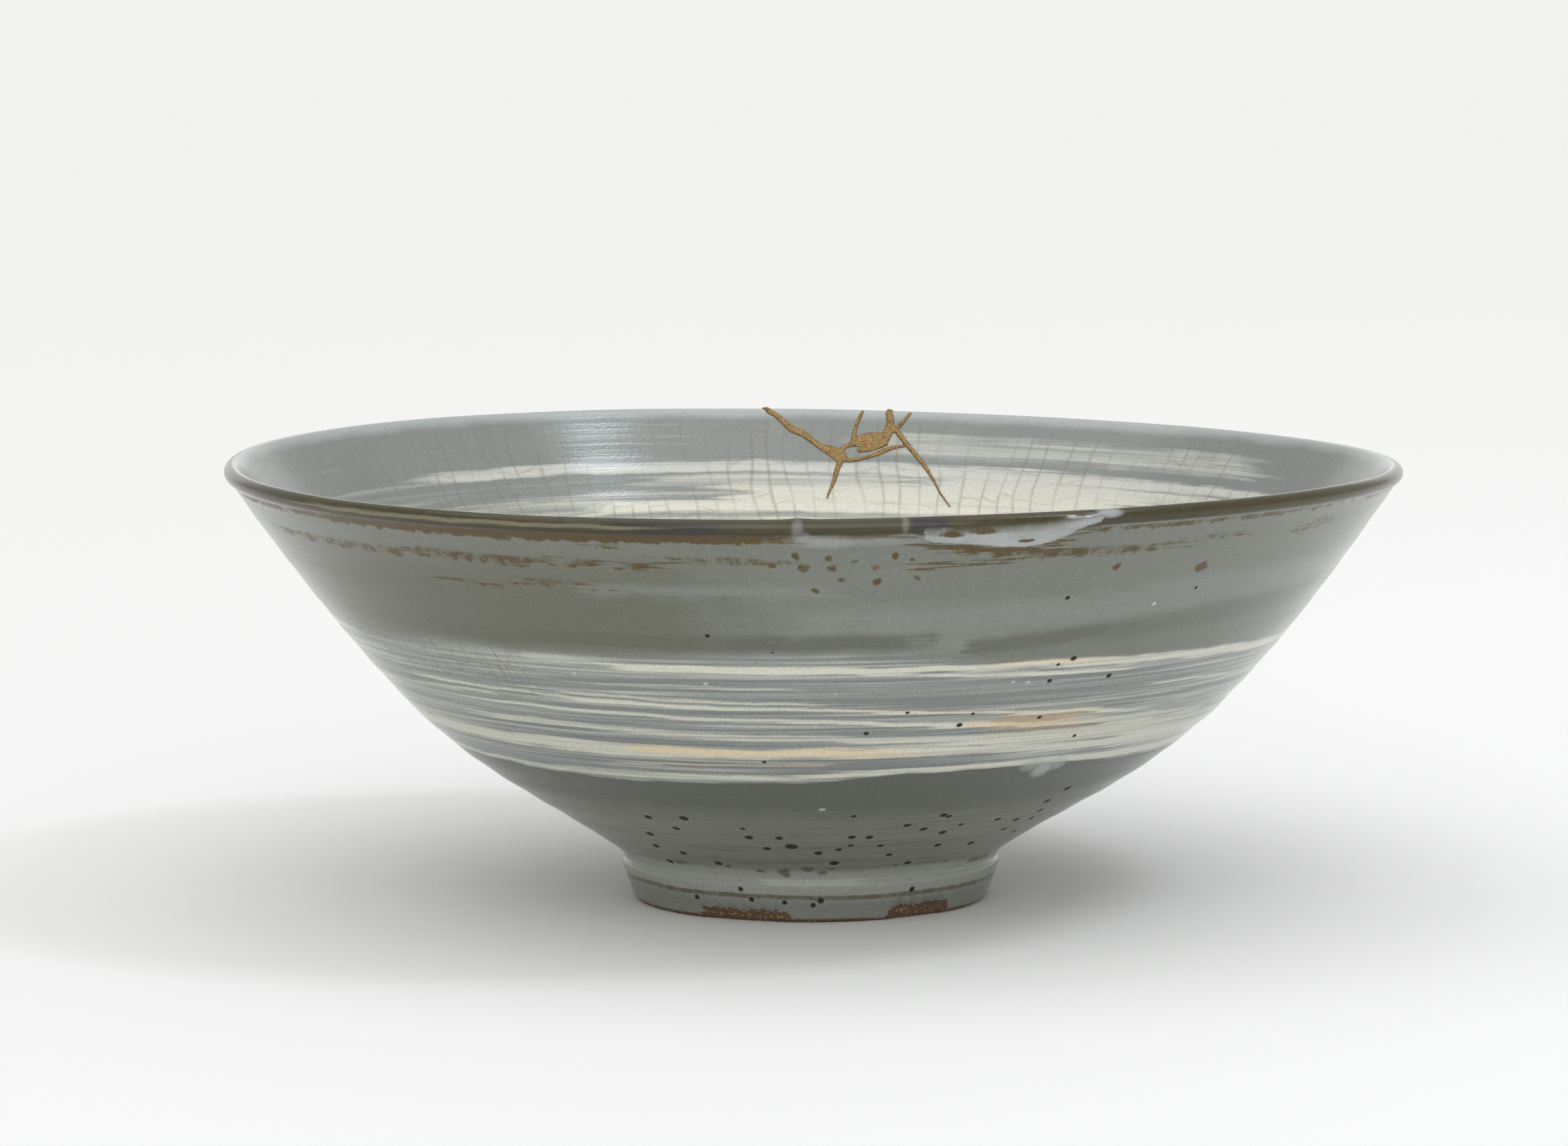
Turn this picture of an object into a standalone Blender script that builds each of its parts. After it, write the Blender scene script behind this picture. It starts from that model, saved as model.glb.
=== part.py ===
"""A wheel-thrown stoneware tea bowl with a gold lacquer repair at its rim.

The bowl is one turned solid: foot ring, flaring wall and rolled lip, pulled a little out of
true by the kiln. The repair is a second solid, a network of raised lacquer seams bedded in a
shallow groove where a piece of the rim had broken away and was set back.

The origin is on the axis of the rim, at the height of the foot ring's underside. +Z is up,
-Y is the side with the pale glaze run at the lip, and the repair is on the far side, at +Y.
"""

import math

import bmesh
import bpy
from mathutils import Vector

MM = 0.001

# Driving sizes of the bowl
RIM_RADIUS = 85.0 * MM
RIM_HEIGHT = 63.7 * MM
WALL_AT_LIP = 2.0 * MM
WALL_AT_FOOT = 5.2 * MM
FLOOR = 6.2 * MM

# The roll of the lip stands out from the wall under it by this much
LIP_STEP = 0.3 * MM

# The wall's curve: how far it leans out from upright, and how long each end keeps that lean
WALL_LEAN_AT_FOOT = math.radians(55.0)
WALL_LEAN_AT_LIP = math.radians(34.5)
CURVE_AT_FOOT = 24.5 * MM
CURVE_AT_LIP = 52.5 * MM

# The share of the wall's curve where the rounded well of the bowl ends
WELL_END = 0.24

# Driving sizes of the foot ring
FOOT_RADIUS = 24.6 * MM
FOOT_HEIGHT = 7.3 * MM
FOOT_FLARE = 2.8 * MM
FOOT_SHOULDER = 5.3 * MM
FOOT_NECK = 0.25 * MM
FOOT_BEVEL = 1.4 * MM
FOOT_RING_WIDTH = 5.0 * MM

# The foot was trimmed a little off the wall's centre, which evens out this far above it
FOOT_OFF_CENTRE = 0.6 * MM
FOOT_BLEND = 12.0 * MM

# The trimmed recess under the foot, with a low nub left at its middle
RECESS_DEPTH = 5.6 * MM
RECESS_FILLET = 1.5 * MM
RECESS_NUB = 0.8 * MM

# How the kiln pulled it: the wall sways to +X halfway up, and the rim tilts and twists
WALL_SWAY = 0.3 * MM
RIM_TILT = 0.48 * MM
RIM_TWIST = 0.58 * MM

# The unit of the chips' and seams' sizes below, so that they grow with the bowl
DAMAGE_UNIT = 1.0 * MM

# Glaze and clay flaked off the foot's lower edge: degrees round from +X, and the width, height
# and depth of each
FOOT_CHIPS = (
    (-113.0, 14.0, 2.2, 0.5),
    (-54.0, 11.0, 2.8, 0.6),
    (128.0, 8.0, 1.8, 0.4),
)

# How deep a seam's middle line lies under the glaze, and the room that its groove leaves
SEAM_BED = 0.45 * MM
SEAM_CLEARANCE = 0.3 * MM
SEAM_PITCH = 3.5 * MM

# Each seam's stations: degrees round from +X, how far down from the lip's crest, and the
# seam's width there
SEAMS = {
    "left_break": (
        (94.8, 0.3, 1.4), (93.2, 1.6, 1.4), (91.1, 3.4, 1.5), (88.6, 5.6, 1.8), (86.6, 7.0, 2.0)),
    "lower_edge": (
        (87.1, 6.4, 1.5), (85.4, 7.3, 1.4), (82.2, 6.5, 1.3), (78.8, 5.1, 1.2)),
    "patch": (
        (87.7, 6.1, 1.4), (85.9, 5.3, 1.5), (83.5, 4.4, 2.0), (81.9, 4.1, 1.9), (81.1, 2.4, 1.6),
        (81.3, 0.4, 1.4)),
    "thin_branch": (
        (85.0, 5.2, 1.2), (84.9, 2.6, 1.1), (84.3, 0.5, 1.1)),
    "rim_fork": (
        (81.6, 3.6, 1.3), (80.3, 2.3, 1.3), (79.0, 0.6, 1.2)),
    "left_crack": (
        (86.4, 6.0, 1.4), (87.0, 9.2, 1.3), (87.9, 12.3, 1.0)),
    "right_crack": (
        (81.8, 1.9, 1.3), (79.4, 5.4, 1.5), (77.0, 7.8, 1.3), (75.1, 10.8, 1.1), (73.6, 13.2, 1.0)),
}

# How finely the solids are faceted
TURNS = 80
WALL_STEPS = 12
LIP_STEPS = 7
WELL_STEPS = 6
ROUND_STEPS = 3
SEAM_RESOLUTION = 2
WELD = 0.005 * MM

GLAZE = ((0.21, 0.22, 0.20, 1.0), 0.25, 0.0)
LACQUER = ((0.50, 0.29, 0.11, 1.0), 0.4, 0.6)


def clear_scene():
    for obj in list(bpy.data.objects):
        bpy.data.objects.remove(obj)


def new_collection(name, hidden):
    collection = bpy.data.collections.new(name)
    bpy.context.scene.collection.children.link(collection)
    collection.hide_render = hidden
    return collection


def new_material(name, finish):
    colour, roughness, metallic = finish
    material = bpy.data.materials.new(name)
    material.use_nodes = True
    shader = material.node_tree.nodes["Principled BSDF"]
    shader.inputs["Base Color"].default_value = colour
    shader.inputs["Roughness"].default_value = roughness
    shader.inputs["Metallic"].default_value = metallic
    return material


def eased(share):
    """0 to 1 with a soft start and end."""
    share = min(1.0, max(0.0, share))
    return share * share * (3.0 - 2.0 * share)


# The bowl's section, in points of radius and height

def up_wall(lean):
    """The direction up a wall that leans out from upright."""
    return Vector((math.sin(lean), math.cos(lean)))


def out_of_wall(lean):
    """The direction square to such a wall, on its outer side."""
    return Vector((math.cos(lean), -math.sin(lean)))


def arc(centre, radius, first, last, steps):
    """Points on an arc between two angles from +X, both ends included."""
    angles = [first + (last - first) * i / steps for i in range(steps + 1)]
    return [centre + radius * Vector((math.cos(angle), math.sin(angle))) for angle in angles]


def lip_roll():
    """The roll is flush with the inner wall and stands out from the outer one."""
    return (WALL_AT_LIP + LIP_STEP) / 2


def lip_centre():
    return Vector((RIM_RADIUS - lip_roll(), RIM_HEIGHT - lip_roll()))


def lip():
    """The roll, from the inner wall over the crest to the step under it."""
    first = math.pi - WALL_LEAN_AT_LIP
    last = -WALL_LEAN_AT_LIP - math.radians(30.0)
    return arc(lip_centre(), lip_roll(), first, last, LIP_STEPS)


def wall_top():
    """The outer wall's upper end, a step in from the roll."""
    aside = out_of_wall(WALL_LEAN_AT_LIP) * (lip_roll() - LIP_STEP)
    return lip_centre() + aside - up_wall(WALL_LEAN_AT_LIP) * lip_roll()


def wall_foot():
    """The outer wall's lower end, on the foot ring."""
    return Vector((FOOT_RADIUS + FOOT_FLARE, FOOT_HEIGHT))


def wall_station(t):
    """A point of the outer wall's curve, from 0 at the foot to 1 at the lip, and outward there."""
    start, end = wall_foot(), wall_top()
    lower = start + up_wall(WALL_LEAN_AT_FOOT) * CURVE_AT_FOOT
    upper = end - up_wall(WALL_LEAN_AT_LIP) * CURVE_AT_LIP
    s = 1.0 - t
    place = s**3 * start + 3 * s * s * t * lower + 3 * s * t * t * upper + t**3 * end
    along = s * s * (lower - start) + 2 * s * t * (upper - lower) + t * t * (end - upper)
    along.normalize()
    return place, Vector((along.y, -along.x))


def outer_wall():
    steps = WALL_STEPS + ROUND_STEPS
    return [wall_station(i / steps)[0] for i in range(steps + 1)]


def inner_wall():
    """The outer wall moved in by the clay, which thins towards the lip."""
    points = []
    for i in range(WALL_STEPS + 1):
        t = WELL_END + (1.0 - WELL_END) * i / WALL_STEPS
        place, outward = wall_station(t)
        thickness = WALL_AT_FOOT + (WALL_AT_LIP - WALL_AT_FOOT) * eased(t)
        points.append(place - outward * thickness)
    return points


def well():
    """The inside from the middle of the floor to the wall, a curve square to the axis."""
    wall = inner_wall()
    middle = Vector((0.0, RECESS_DEPTH + FLOOR))
    along = wall[1] - wall[0]
    corner = wall[0] - along * ((wall[0].y - middle.y) / along.y)
    points = []
    for i in range(WELL_STEPS):
        t = i / WELL_STEPS
        points.append((1 - t) ** 2 * middle + 2 * (1 - t) * t * corner + t * t * wall[0])
    return points


def foot():
    """The foot ring's outer face, from the wall down to the rounded edge it stands on."""
    shoulder = FOOT_RADIUS + FOOT_FLARE
    neck = (FOOT_SHOULDER + FOOT_HEIGHT) / 2
    bevel = arc(Vector((FOOT_RADIUS, FOOT_BEVEL)), FOOT_BEVEL, 0.0, -math.pi / 2, ROUND_STEPS)
    return [Vector((shoulder - FOOT_NECK, neck)), Vector((shoulder, FOOT_SHOULDER))] + bevel


def recess():
    """The underside, from the ring's inner edge up its wall and over to the axis."""
    edge = FOOT_RADIUS - FOOT_RING_WIDTH
    centre = Vector((edge - RECESS_FILLET, RECESS_DEPTH - RECESS_FILLET))
    fillet = arc(centre, RECESS_FILLET, 0.0, math.pi / 2, ROUND_STEPS)
    nub = Vector((0.0, RECESS_DEPTH - RECESS_NUB))
    return [Vector((edge, 0.0))] + fillet + [nub]


def section():
    return well() + inner_wall()[:-1] + lip() + outer_wall()[::-1] + foot() + recess()


# Out of true

def pulled(point):
    """A point of the true form, moved as the kiln and the potter's trimming left it."""
    share = eased((point.z - FOOT_HEIGHT) / (RIM_HEIGHT - FOOT_HEIGHT))
    sway = 4.0 * WALL_SWAY * share * (1.0 - share)
    foot_share = 1.0 - eased((point.z - FOOT_HEIGHT) / FOOT_BLEND)
    turn = math.atan2(point.y, point.x)
    lift = -RIM_TILT * math.cos(turn) - RIM_TWIST * math.sin(2 * turn)
    return point + Vector((sway - FOOT_OFF_CENTRE * foot_share, 0.0, share * lift))


def chipped(point):
    """A point of the foot's outer face, moved in where its edge has flaked."""
    radius = math.hypot(point.x, point.y)
    if radius < FOOT_RADIUS - WELD or point.z > FOOT_SHOULDER:
        return point
    turn = math.atan2(point.y, point.x)
    depth = 0.0
    for middle, width, height, deepest in FOOT_CHIPS:
        aside = abs((turn - math.radians(middle) + math.pi) % (2 * math.pi) - math.pi) * radius
        across = eased(2.0 - 4.0 * aside / (width * DAMAGE_UNIT))
        upward = eased(2.0 - 2.0 * point.z / (height * DAMAGE_UNIT))
        depth = max(depth, deepest * DAMAGE_UNIT * across * upward)
    return point - Vector((point.x, point.y, 0.0)) * (depth / radius)


def as_mesh(obj, collection):
    """A curve, or an object with its modifiers, made a welded mesh object of the same name."""
    name = obj.name
    graph = bpy.context.evaluated_depsgraph_get()
    mesh = bpy.data.meshes.new_from_object(obj.evaluated_get(graph))
    mesh.transform(obj.matrix_world)
    bpy.data.objects.remove(obj)
    form = bmesh.new()
    form.from_mesh(mesh)
    bmesh.ops.remove_doubles(form, verts=form.verts, dist=WELD)
    form.to_mesh(mesh)
    form.free()
    made = bpy.data.objects.new(name, mesh)
    collection.objects.link(made)
    return made


def turned_bowl(collection):
    """The section turned about the axis, chipped at the foot and pulled out of true."""
    points = [(point.x, 0.0, point.y) for point in section()]
    edges = [(i, i + 1) for i in range(len(points) - 1)]
    profile = bpy.data.meshes.new("bowl_section")
    profile.from_pydata(points, edges, [])
    turned = bpy.data.objects.new("bowl", profile)
    collection.objects.link(turned)
    screw = turned.modifiers.new("turning", "SCREW")
    screw.steps = TURNS
    screw.render_steps = TURNS
    screw.use_merge_vertices = True
    screw.merge_threshold = WELD
    bpy.context.view_layer.update()
    bowl = as_mesh(turned, collection)
    for vertex in bowl.data.vertices:
        vertex.co = pulled(chipped(vertex.co.copy()))
    return bowl


# The lacquer repair

def bed(turn, below_crest):
    """The place of a seam's middle line, just under the glaze of the inner face."""
    face = inner_wall()[:-1] + lip()
    height = RIM_HEIGHT - below_crest
    low, high = next(pair for pair in zip(face, face[1:]) if pair[1].y >= height)
    along = (high - low).normalized()
    place = low.lerp(high, (height - low.y) / (high.y - low.y))
    place += Vector((along.y, -along.x)) * SEAM_BED
    return pulled(Vector((place.x * math.cos(turn), place.x * math.sin(turn), place.y)))


def seam_stations(chain):
    """Points along a seam with their radii, no farther apart than the pitch."""
    knots = []
    for turn, below, width in chain:
        knots.append((bed(math.radians(turn), below * DAMAGE_UNIT), width * DAMAGE_UNIT / 2))
    stations = [knots[0]]
    for (start, thick), (end, thin) in zip(knots, knots[1:]):
        parts = math.ceil((end - start).length / SEAM_PITCH)
        for i in range(1, parts + 1):
            stations.append((start.lerp(end, i / parts), thick + (thin - thick) * i / parts))
    return stations


def seam(name, chain, spare, collection):
    """One seam as a tube whose radius follows the seam's width, plus a spare."""
    curve = bpy.data.curves.new(name, "CURVE")
    curve.dimensions = "3D"
    curve.bevel_depth = 1.0
    curve.bevel_resolution = SEAM_RESOLUTION
    curve.use_fill_caps = True
    stations = seam_stations(chain)
    spline = curve.splines.new("POLY")
    spline.points.add(len(stations) - 1)
    for point, (place, radius) in zip(spline.points, stations):
        point.co = (*place, 1.0)
        point.radius = radius + spare
    tube = bpy.data.objects.new(name, curve)
    collection.objects.link(tube)
    bpy.context.view_layer.update()
    return as_mesh(tube, collection)


def combined(obj, tool, operation):
    """Joins a hidden tool to an object, or cuts it from the object."""
    tool.display_type = "WIRE"
    tool.hide_render = True
    boolean = obj.modifiers.new(tool.name, "BOOLEAN")
    boolean.operation = operation
    boolean.use_self = operation == "UNION"
    boolean.object = tool


def build():
    clear_scene()
    parts = new_collection("tea_bowl", hidden=False)
    cutters = new_collection("tea_bowl_cutters", hidden=True)

    bowl = turned_bowl(parts)
    bowl.data.materials.append(new_material("glazed_stoneware", GLAZE))
    for name, chain in SEAMS.items():
        groove = seam(f"{name}_groove", chain, SEAM_CLEARANCE, cutters)
        combined(bowl, groove, "DIFFERENCE")

    first, *others = SEAMS
    repair = seam("gold_lacquer_repair", SEAMS[first], 0.0, parts)
    repair.data.materials.append(new_material("gold_lacquer", LACQUER))
    for name in others:
        combined(repair, seam(f"{name}_seam", SEAMS[name], 0.0, cutters), "UNION")
    weld = repair.modifiers.new("weld", "WELD")
    weld.merge_threshold = WELD

    for obj in (bowl, repair):
        obj.data.shade_smooth()
        obj.data.set_sharp_from_angle(angle=math.radians(40.0))


build()
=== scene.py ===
"""The looks of a wheel-thrown stoneware tea bowl: cream slip brushed on under a grey-green glaze,
an iron-brown lip, rust marks, pinholes, a pale glaze run, bare clay at the foot and a repair in
gold lacquer. Places on the bowl are given as a turn in degrees round from +X (the near side is
at -90) and as a rise in millimetres above the foot's underside."""

import math

import bpy
import numpy as np
from mathutils import Matrix, Vector


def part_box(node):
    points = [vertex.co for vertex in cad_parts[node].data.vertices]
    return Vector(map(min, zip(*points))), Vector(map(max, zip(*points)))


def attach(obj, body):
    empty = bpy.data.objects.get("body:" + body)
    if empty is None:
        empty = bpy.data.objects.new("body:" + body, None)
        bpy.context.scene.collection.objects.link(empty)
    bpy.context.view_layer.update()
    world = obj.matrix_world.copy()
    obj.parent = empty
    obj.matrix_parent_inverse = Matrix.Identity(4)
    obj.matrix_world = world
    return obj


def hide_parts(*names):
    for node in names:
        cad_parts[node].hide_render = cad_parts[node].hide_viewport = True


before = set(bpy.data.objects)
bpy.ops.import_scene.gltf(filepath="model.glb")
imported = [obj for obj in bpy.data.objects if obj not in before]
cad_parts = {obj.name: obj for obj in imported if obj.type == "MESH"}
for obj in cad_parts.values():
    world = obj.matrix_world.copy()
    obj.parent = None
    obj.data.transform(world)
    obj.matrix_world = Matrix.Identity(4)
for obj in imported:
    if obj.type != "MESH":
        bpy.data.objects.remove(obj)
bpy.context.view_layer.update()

MM = 0.001

# Sizes of the bowl in millimetres, the same as its solid's
RIM_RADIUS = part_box("bowl")[1].x / MM
RIM_HEIGHT = 63.7
WALL_AT_LIP = 2.0
WALL_AT_FOOT = 5.2
FLOOR = 6.2
LIP_STEP = 0.3
WALL_LEAN_AT_FOOT = math.radians(55.0)
WALL_LEAN_AT_LIP = math.radians(34.5)
CURVE_AT_FOOT = 24.5
CURVE_AT_LIP = 52.5
WELL_END = 0.24
FOOT_RADIUS = 24.6
FOOT_HEIGHT = 7.3
FOOT_FLARE = 2.8
FOOT_SHOULDER = 5.3
FOOT_NECK = 0.25
FOOT_BEVEL = 1.4
FOOT_RING_WIDTH = 5.0
FOOT_OFF_CENTRE = 0.6
FOOT_BLEND = 12.0
RECESS_DEPTH = 5.6
RECESS_FILLET = 1.5
RECESS_NUB = 0.8
WALL_SWAY = 0.3
RIM_TILT = 0.48
RIM_TWIST = 0.58

# Where the foot's edge has flaked to bare clay: turn, width, height and depth
FOOT_CHIPS = ((-113.0, 14.0, 2.2, 0.5), (-54.0, 11.0, 2.8, 0.6), (128.0, 8.0, 1.8, 0.4))

# How finely the bowl's surface is made
TURNS = 424
WELL_POINTS = 40
INNER_POINTS = 58
LIP_POINTS = 16
OUTER_POINTS = 58
FOOT_POINTS = 24
RECESS_POINTS = 20

INSIDE, OUTSIDE = 0, 1


def eased(share):
    share = np.clip(share, 0.0, 1.0)
    return share * share * (3.0 - 2.0 * share)


# The bowl's section

def cubic(start, lower, upper, end, share):
    rest = 1.0 - share
    return (rest**3 * start + 3 * rest**2 * share * lower
            + 3 * rest * share**2 * upper + share**3 * end)


def up_wall(lean):
    return np.array([math.sin(lean), math.cos(lean)])


def out_of_wall(lean):
    return np.array([math.cos(lean), -math.sin(lean)])


LIP_ROLL = (WALL_AT_LIP + LIP_STEP) / 2
LIP_CENTRE = np.array([RIM_RADIUS - LIP_ROLL, RIM_HEIGHT - LIP_ROLL])
LIP_LOW = math.radians(30.0)


def outer_wall(shares):
    """Points up the outer wall and the directions square to it."""
    start = np.array([FOOT_RADIUS + FOOT_FLARE, FOOT_HEIGHT])
    aside = out_of_wall(WALL_LEAN_AT_LIP) * (LIP_ROLL - LIP_STEP)
    end = LIP_CENTRE + aside - up_wall(WALL_LEAN_AT_LIP) * LIP_ROLL
    lower = start + up_wall(WALL_LEAN_AT_FOOT) * CURVE_AT_FOOT
    upper = end - up_wall(WALL_LEAN_AT_LIP) * CURVE_AT_LIP
    shares = np.asarray(shares)[:, None]
    places = cubic(start, lower, upper, end, shares)
    step = 1e-4
    along = cubic(start, lower, upper, end, shares + step) - cubic(start, lower, upper, end, shares - step)
    along /= np.linalg.norm(along, axis=1)[:, None]
    return places, np.stack([along[:, 1], -along[:, 0]], axis=1)


def inner_wall(shares):
    places, outward = outer_wall(shares)
    thickness = WALL_AT_FOOT + (WALL_AT_LIP - WALL_AT_FOOT) * eased(np.asarray(shares))
    return places - outward * thickness[:, None]


def well(count):
    """The inside from the middle of the floor to where the wall takes over."""
    first, second = inner_wall([WELL_END, WELL_END + 0.06])
    middle = np.array([0.0, RECESS_DEPTH + FLOOR])
    along = second - first
    corner = first - along * ((first[1] - middle[1]) / along[1])
    share = (np.arange(count) / count)[:, None]
    return (1 - share) ** 2 * middle + 2 * (1 - share) * share * corner + share**2 * first


def arc(centre, radius, first, last, count):
    angles = np.linspace(first, last, count)
    return centre + radius * np.stack([np.cos(angles), np.sin(angles)], axis=1)


def through(knots, count):
    """A smooth curve through a few knots, at even steps of their spacing."""
    knots = np.array(knots, float)
    ends = np.vstack([2 * knots[0] - knots[1], knots, 2 * knots[-1] - knots[-2]])
    spans = np.linalg.norm(np.diff(knots[:, :2], axis=0), axis=1)
    marks = np.concatenate([[0.0], np.cumsum(spans)])
    points = []
    for mark in np.linspace(0.0, marks[-1], count):
        i = min(int(np.searchsorted(marks, mark, side="right")) - 1, len(knots) - 2)
        t = (mark - marks[i]) / spans[i]
        before, start, end, after = ends[i:i + 4]
        points.append(start + 0.5 * t * (end - before + t * (
            2 * before - 5 * start + 4 * end - after + t * (3 * (start - end) + after - before))))
    return np.array(points)


def section():
    """The whole section from the floor's middle round to the axis under the foot."""
    shoulder = FOOT_RADIUS + FOOT_FLARE
    edge = FOOT_RADIUS - FOOT_RING_WIDTH
    bevel = arc(np.array([FOOT_RADIUS, FOOT_BEVEL]), FOOT_BEVEL, 0.0, -math.pi / 2, 5)
    outer, _ = outer_wall(np.linspace(1.0, 0.0, OUTER_POINTS))
    foot = [outer[-2], outer[-1], (shoulder - FOOT_NECK, (FOOT_SHOULDER + FOOT_HEIGHT) / 2)]
    foot += [(shoulder - 0.02, FOOT_SHOULDER), *bevel]
    fillet = arc(np.array([edge - RECESS_FILLET, RECESS_DEPTH - RECESS_FILLET]),
                 RECESS_FILLET, 0.0, math.pi / 2, 7)
    first = math.pi - WALL_LEAN_AT_LIP
    last = -WALL_LEAN_AT_LIP - LIP_LOW
    return [
        (INSIDE, well(WELL_POINTS)),
        (INSIDE, inner_wall(np.linspace(WELL_END, 1.0, INNER_POINTS))[:-1]),
        (INSIDE, arc(LIP_CENTRE, LIP_ROLL, first, math.pi / 2, LIP_POINTS // 2)[:-1]),
        (OUTSIDE, arc(LIP_CENTRE, LIP_ROLL, math.pi / 2, last, LIP_POINTS)),
        (OUTSIDE, outer[:-1]),
        (OUTSIDE, through(foot, FOOT_POINTS)[4:]),
        (OUTSIDE, through([(FOOT_RADIUS, 0.0), (edge, 0.0)], 8)[1:]),
        (OUTSIDE, fillet),
        (OUTSIDE, through([fillet[-1], (0.0, RECESS_DEPTH - RECESS_NUB)], RECESS_POINTS)[1:]),
    ]


def length(points):
    return float(np.linalg.norm(np.diff(points, axis=0), axis=1).sum())


# How far down the outer face its recess begins, from the crest
RECESS_DOWN = length(np.vstack([run for side, run in section()[3:7]]))


def pulled(place):
    """Points of the true form, moved as the kiln and the potter's trimming left them."""
    share = eased((place[..., 2] - FOOT_HEIGHT) / (RIM_HEIGHT - FOOT_HEIGHT))
    turn = np.arctan2(place[..., 1], place[..., 0])
    lift = -RIM_TILT * np.cos(turn) - RIM_TWIST * np.sin(2 * turn)
    foot_share = 1.0 - eased((place[..., 2] - FOOT_HEIGHT) / FOOT_BLEND)
    moved = place.copy()
    moved[..., 0] += 4.0 * WALL_SWAY * share * (1.0 - share) - FOOT_OFF_CENTRE * foot_share
    moved[..., 2] += share * lift
    return moved


def near_turn(turns, middle):
    """How many degrees each turn is from a middle one, the short way round."""
    return (turns - middle + 180.0) % 360.0 - 180.0


def ripple(turns, along, seed):
    """A slow unevenness from -1 to 1, the same each run."""
    chance = np.random.default_rng(seed)
    total = np.zeros(np.broadcast(turns, along).shape)
    for harmonic in range(1, 7):
        phase = chance.uniform(0, 2 * math.pi)
        reach = chance.uniform(0.5, 1.0)
        drift = chance.uniform(-0.16, 0.16)
        total += reach * np.sin(np.radians(turns) * harmonic + along * drift + phase)
    return total / 4.0


def chip_depth(turns, radius, rise):
    depth = np.zeros_like(turns)
    for middle, width, height, deepest in FOOT_CHIPS:
        aside = np.abs(np.radians(near_turn(turns, middle))) * radius
        ragged = 0.18 * np.sin(np.radians(turns) * 71.0 + middle) + 0.12 * np.sin(np.radians(turns) * 163.0)
        across = eased(2.0 - 4.0 * aside / width)
        upward = eased((height * (1.0 + ragged) - rise) / 0.9)
        depth = np.maximum(depth, deepest * across * upward)
    return depth


# The two edges of the pale glaze that ran from the near lip, as turns and rises
RUN_FOOT = (
    (-180.0, 70.0), (-81.6, 70.0), (-81.2, 61.7), (-80.8, 61.1), (-78.9, 60.2), (-76.4, 59.8), (-73.3, 59.4),
    (-70.2, 58.9), (-68.7, 59.2), (-67.3, 59.8), (-65.9, 60.7), (-64.4, 61.7), (-62.4, 62.6), (-61.9, 70.0),
    (180.0, 70.0))
RUN_TOP = (
    (-180.0, 61.9), (-81.1, 61.9), (-80.2, 62.2), (-76.7, 61.9), (-73.8, 62.1), (-70.2, 62.3), (-67.9, 62.5),
    (-66.4, 62.8), (-64.4, 63.2), (-62.1, 63.5), (180.0, 63.5))

# How thick the run and the narrow drip beside it stand, and where the drip is
RUN_THICKNESS = 0.32
DRIP_THICKNESS = 0.18
DRIP_TURN = -91.6
DRIP_HALF_WIDTH = 0.9
DRIP_END = 59.6


def glaze_run_height(turns, rise):
    """How thick the pale glaze stands where it ran over the near lip."""
    lower_edge = np.interp(turns, *zip(*RUN_FOOT))
    upper_edge = np.interp(turns, *zip(*RUN_TOP))
    run = eased((rise - lower_edge) / 0.7) * eased((upper_edge + 0.3 - rise) / 0.8)
    drip = np.exp(-(near_turn(turns, DRIP_TURN) / DRIP_HALF_WIDTH) ** 2) * eased((rise - DRIP_END) / 1.5)
    return RUN_THICKNESS * run + DRIP_THICKNESS * drip


# The throwing rings, the slow unevenness of the wall, the ridge that the potter's rib left low on the
# outside, the waver of the lip and the crumbs in the flaked clay
THROWING_PITCH = 6.4
THROWING_DEPTH = 0.045
WALL_WAVER = 0.05
RIDGE_RISE = 28.5
RIDGE_HALF_WIDTH = 1.6
RIDGE_HEIGHT = 0.16
LIP_WAVER = 0.05
CRUMB = 0.08


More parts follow.
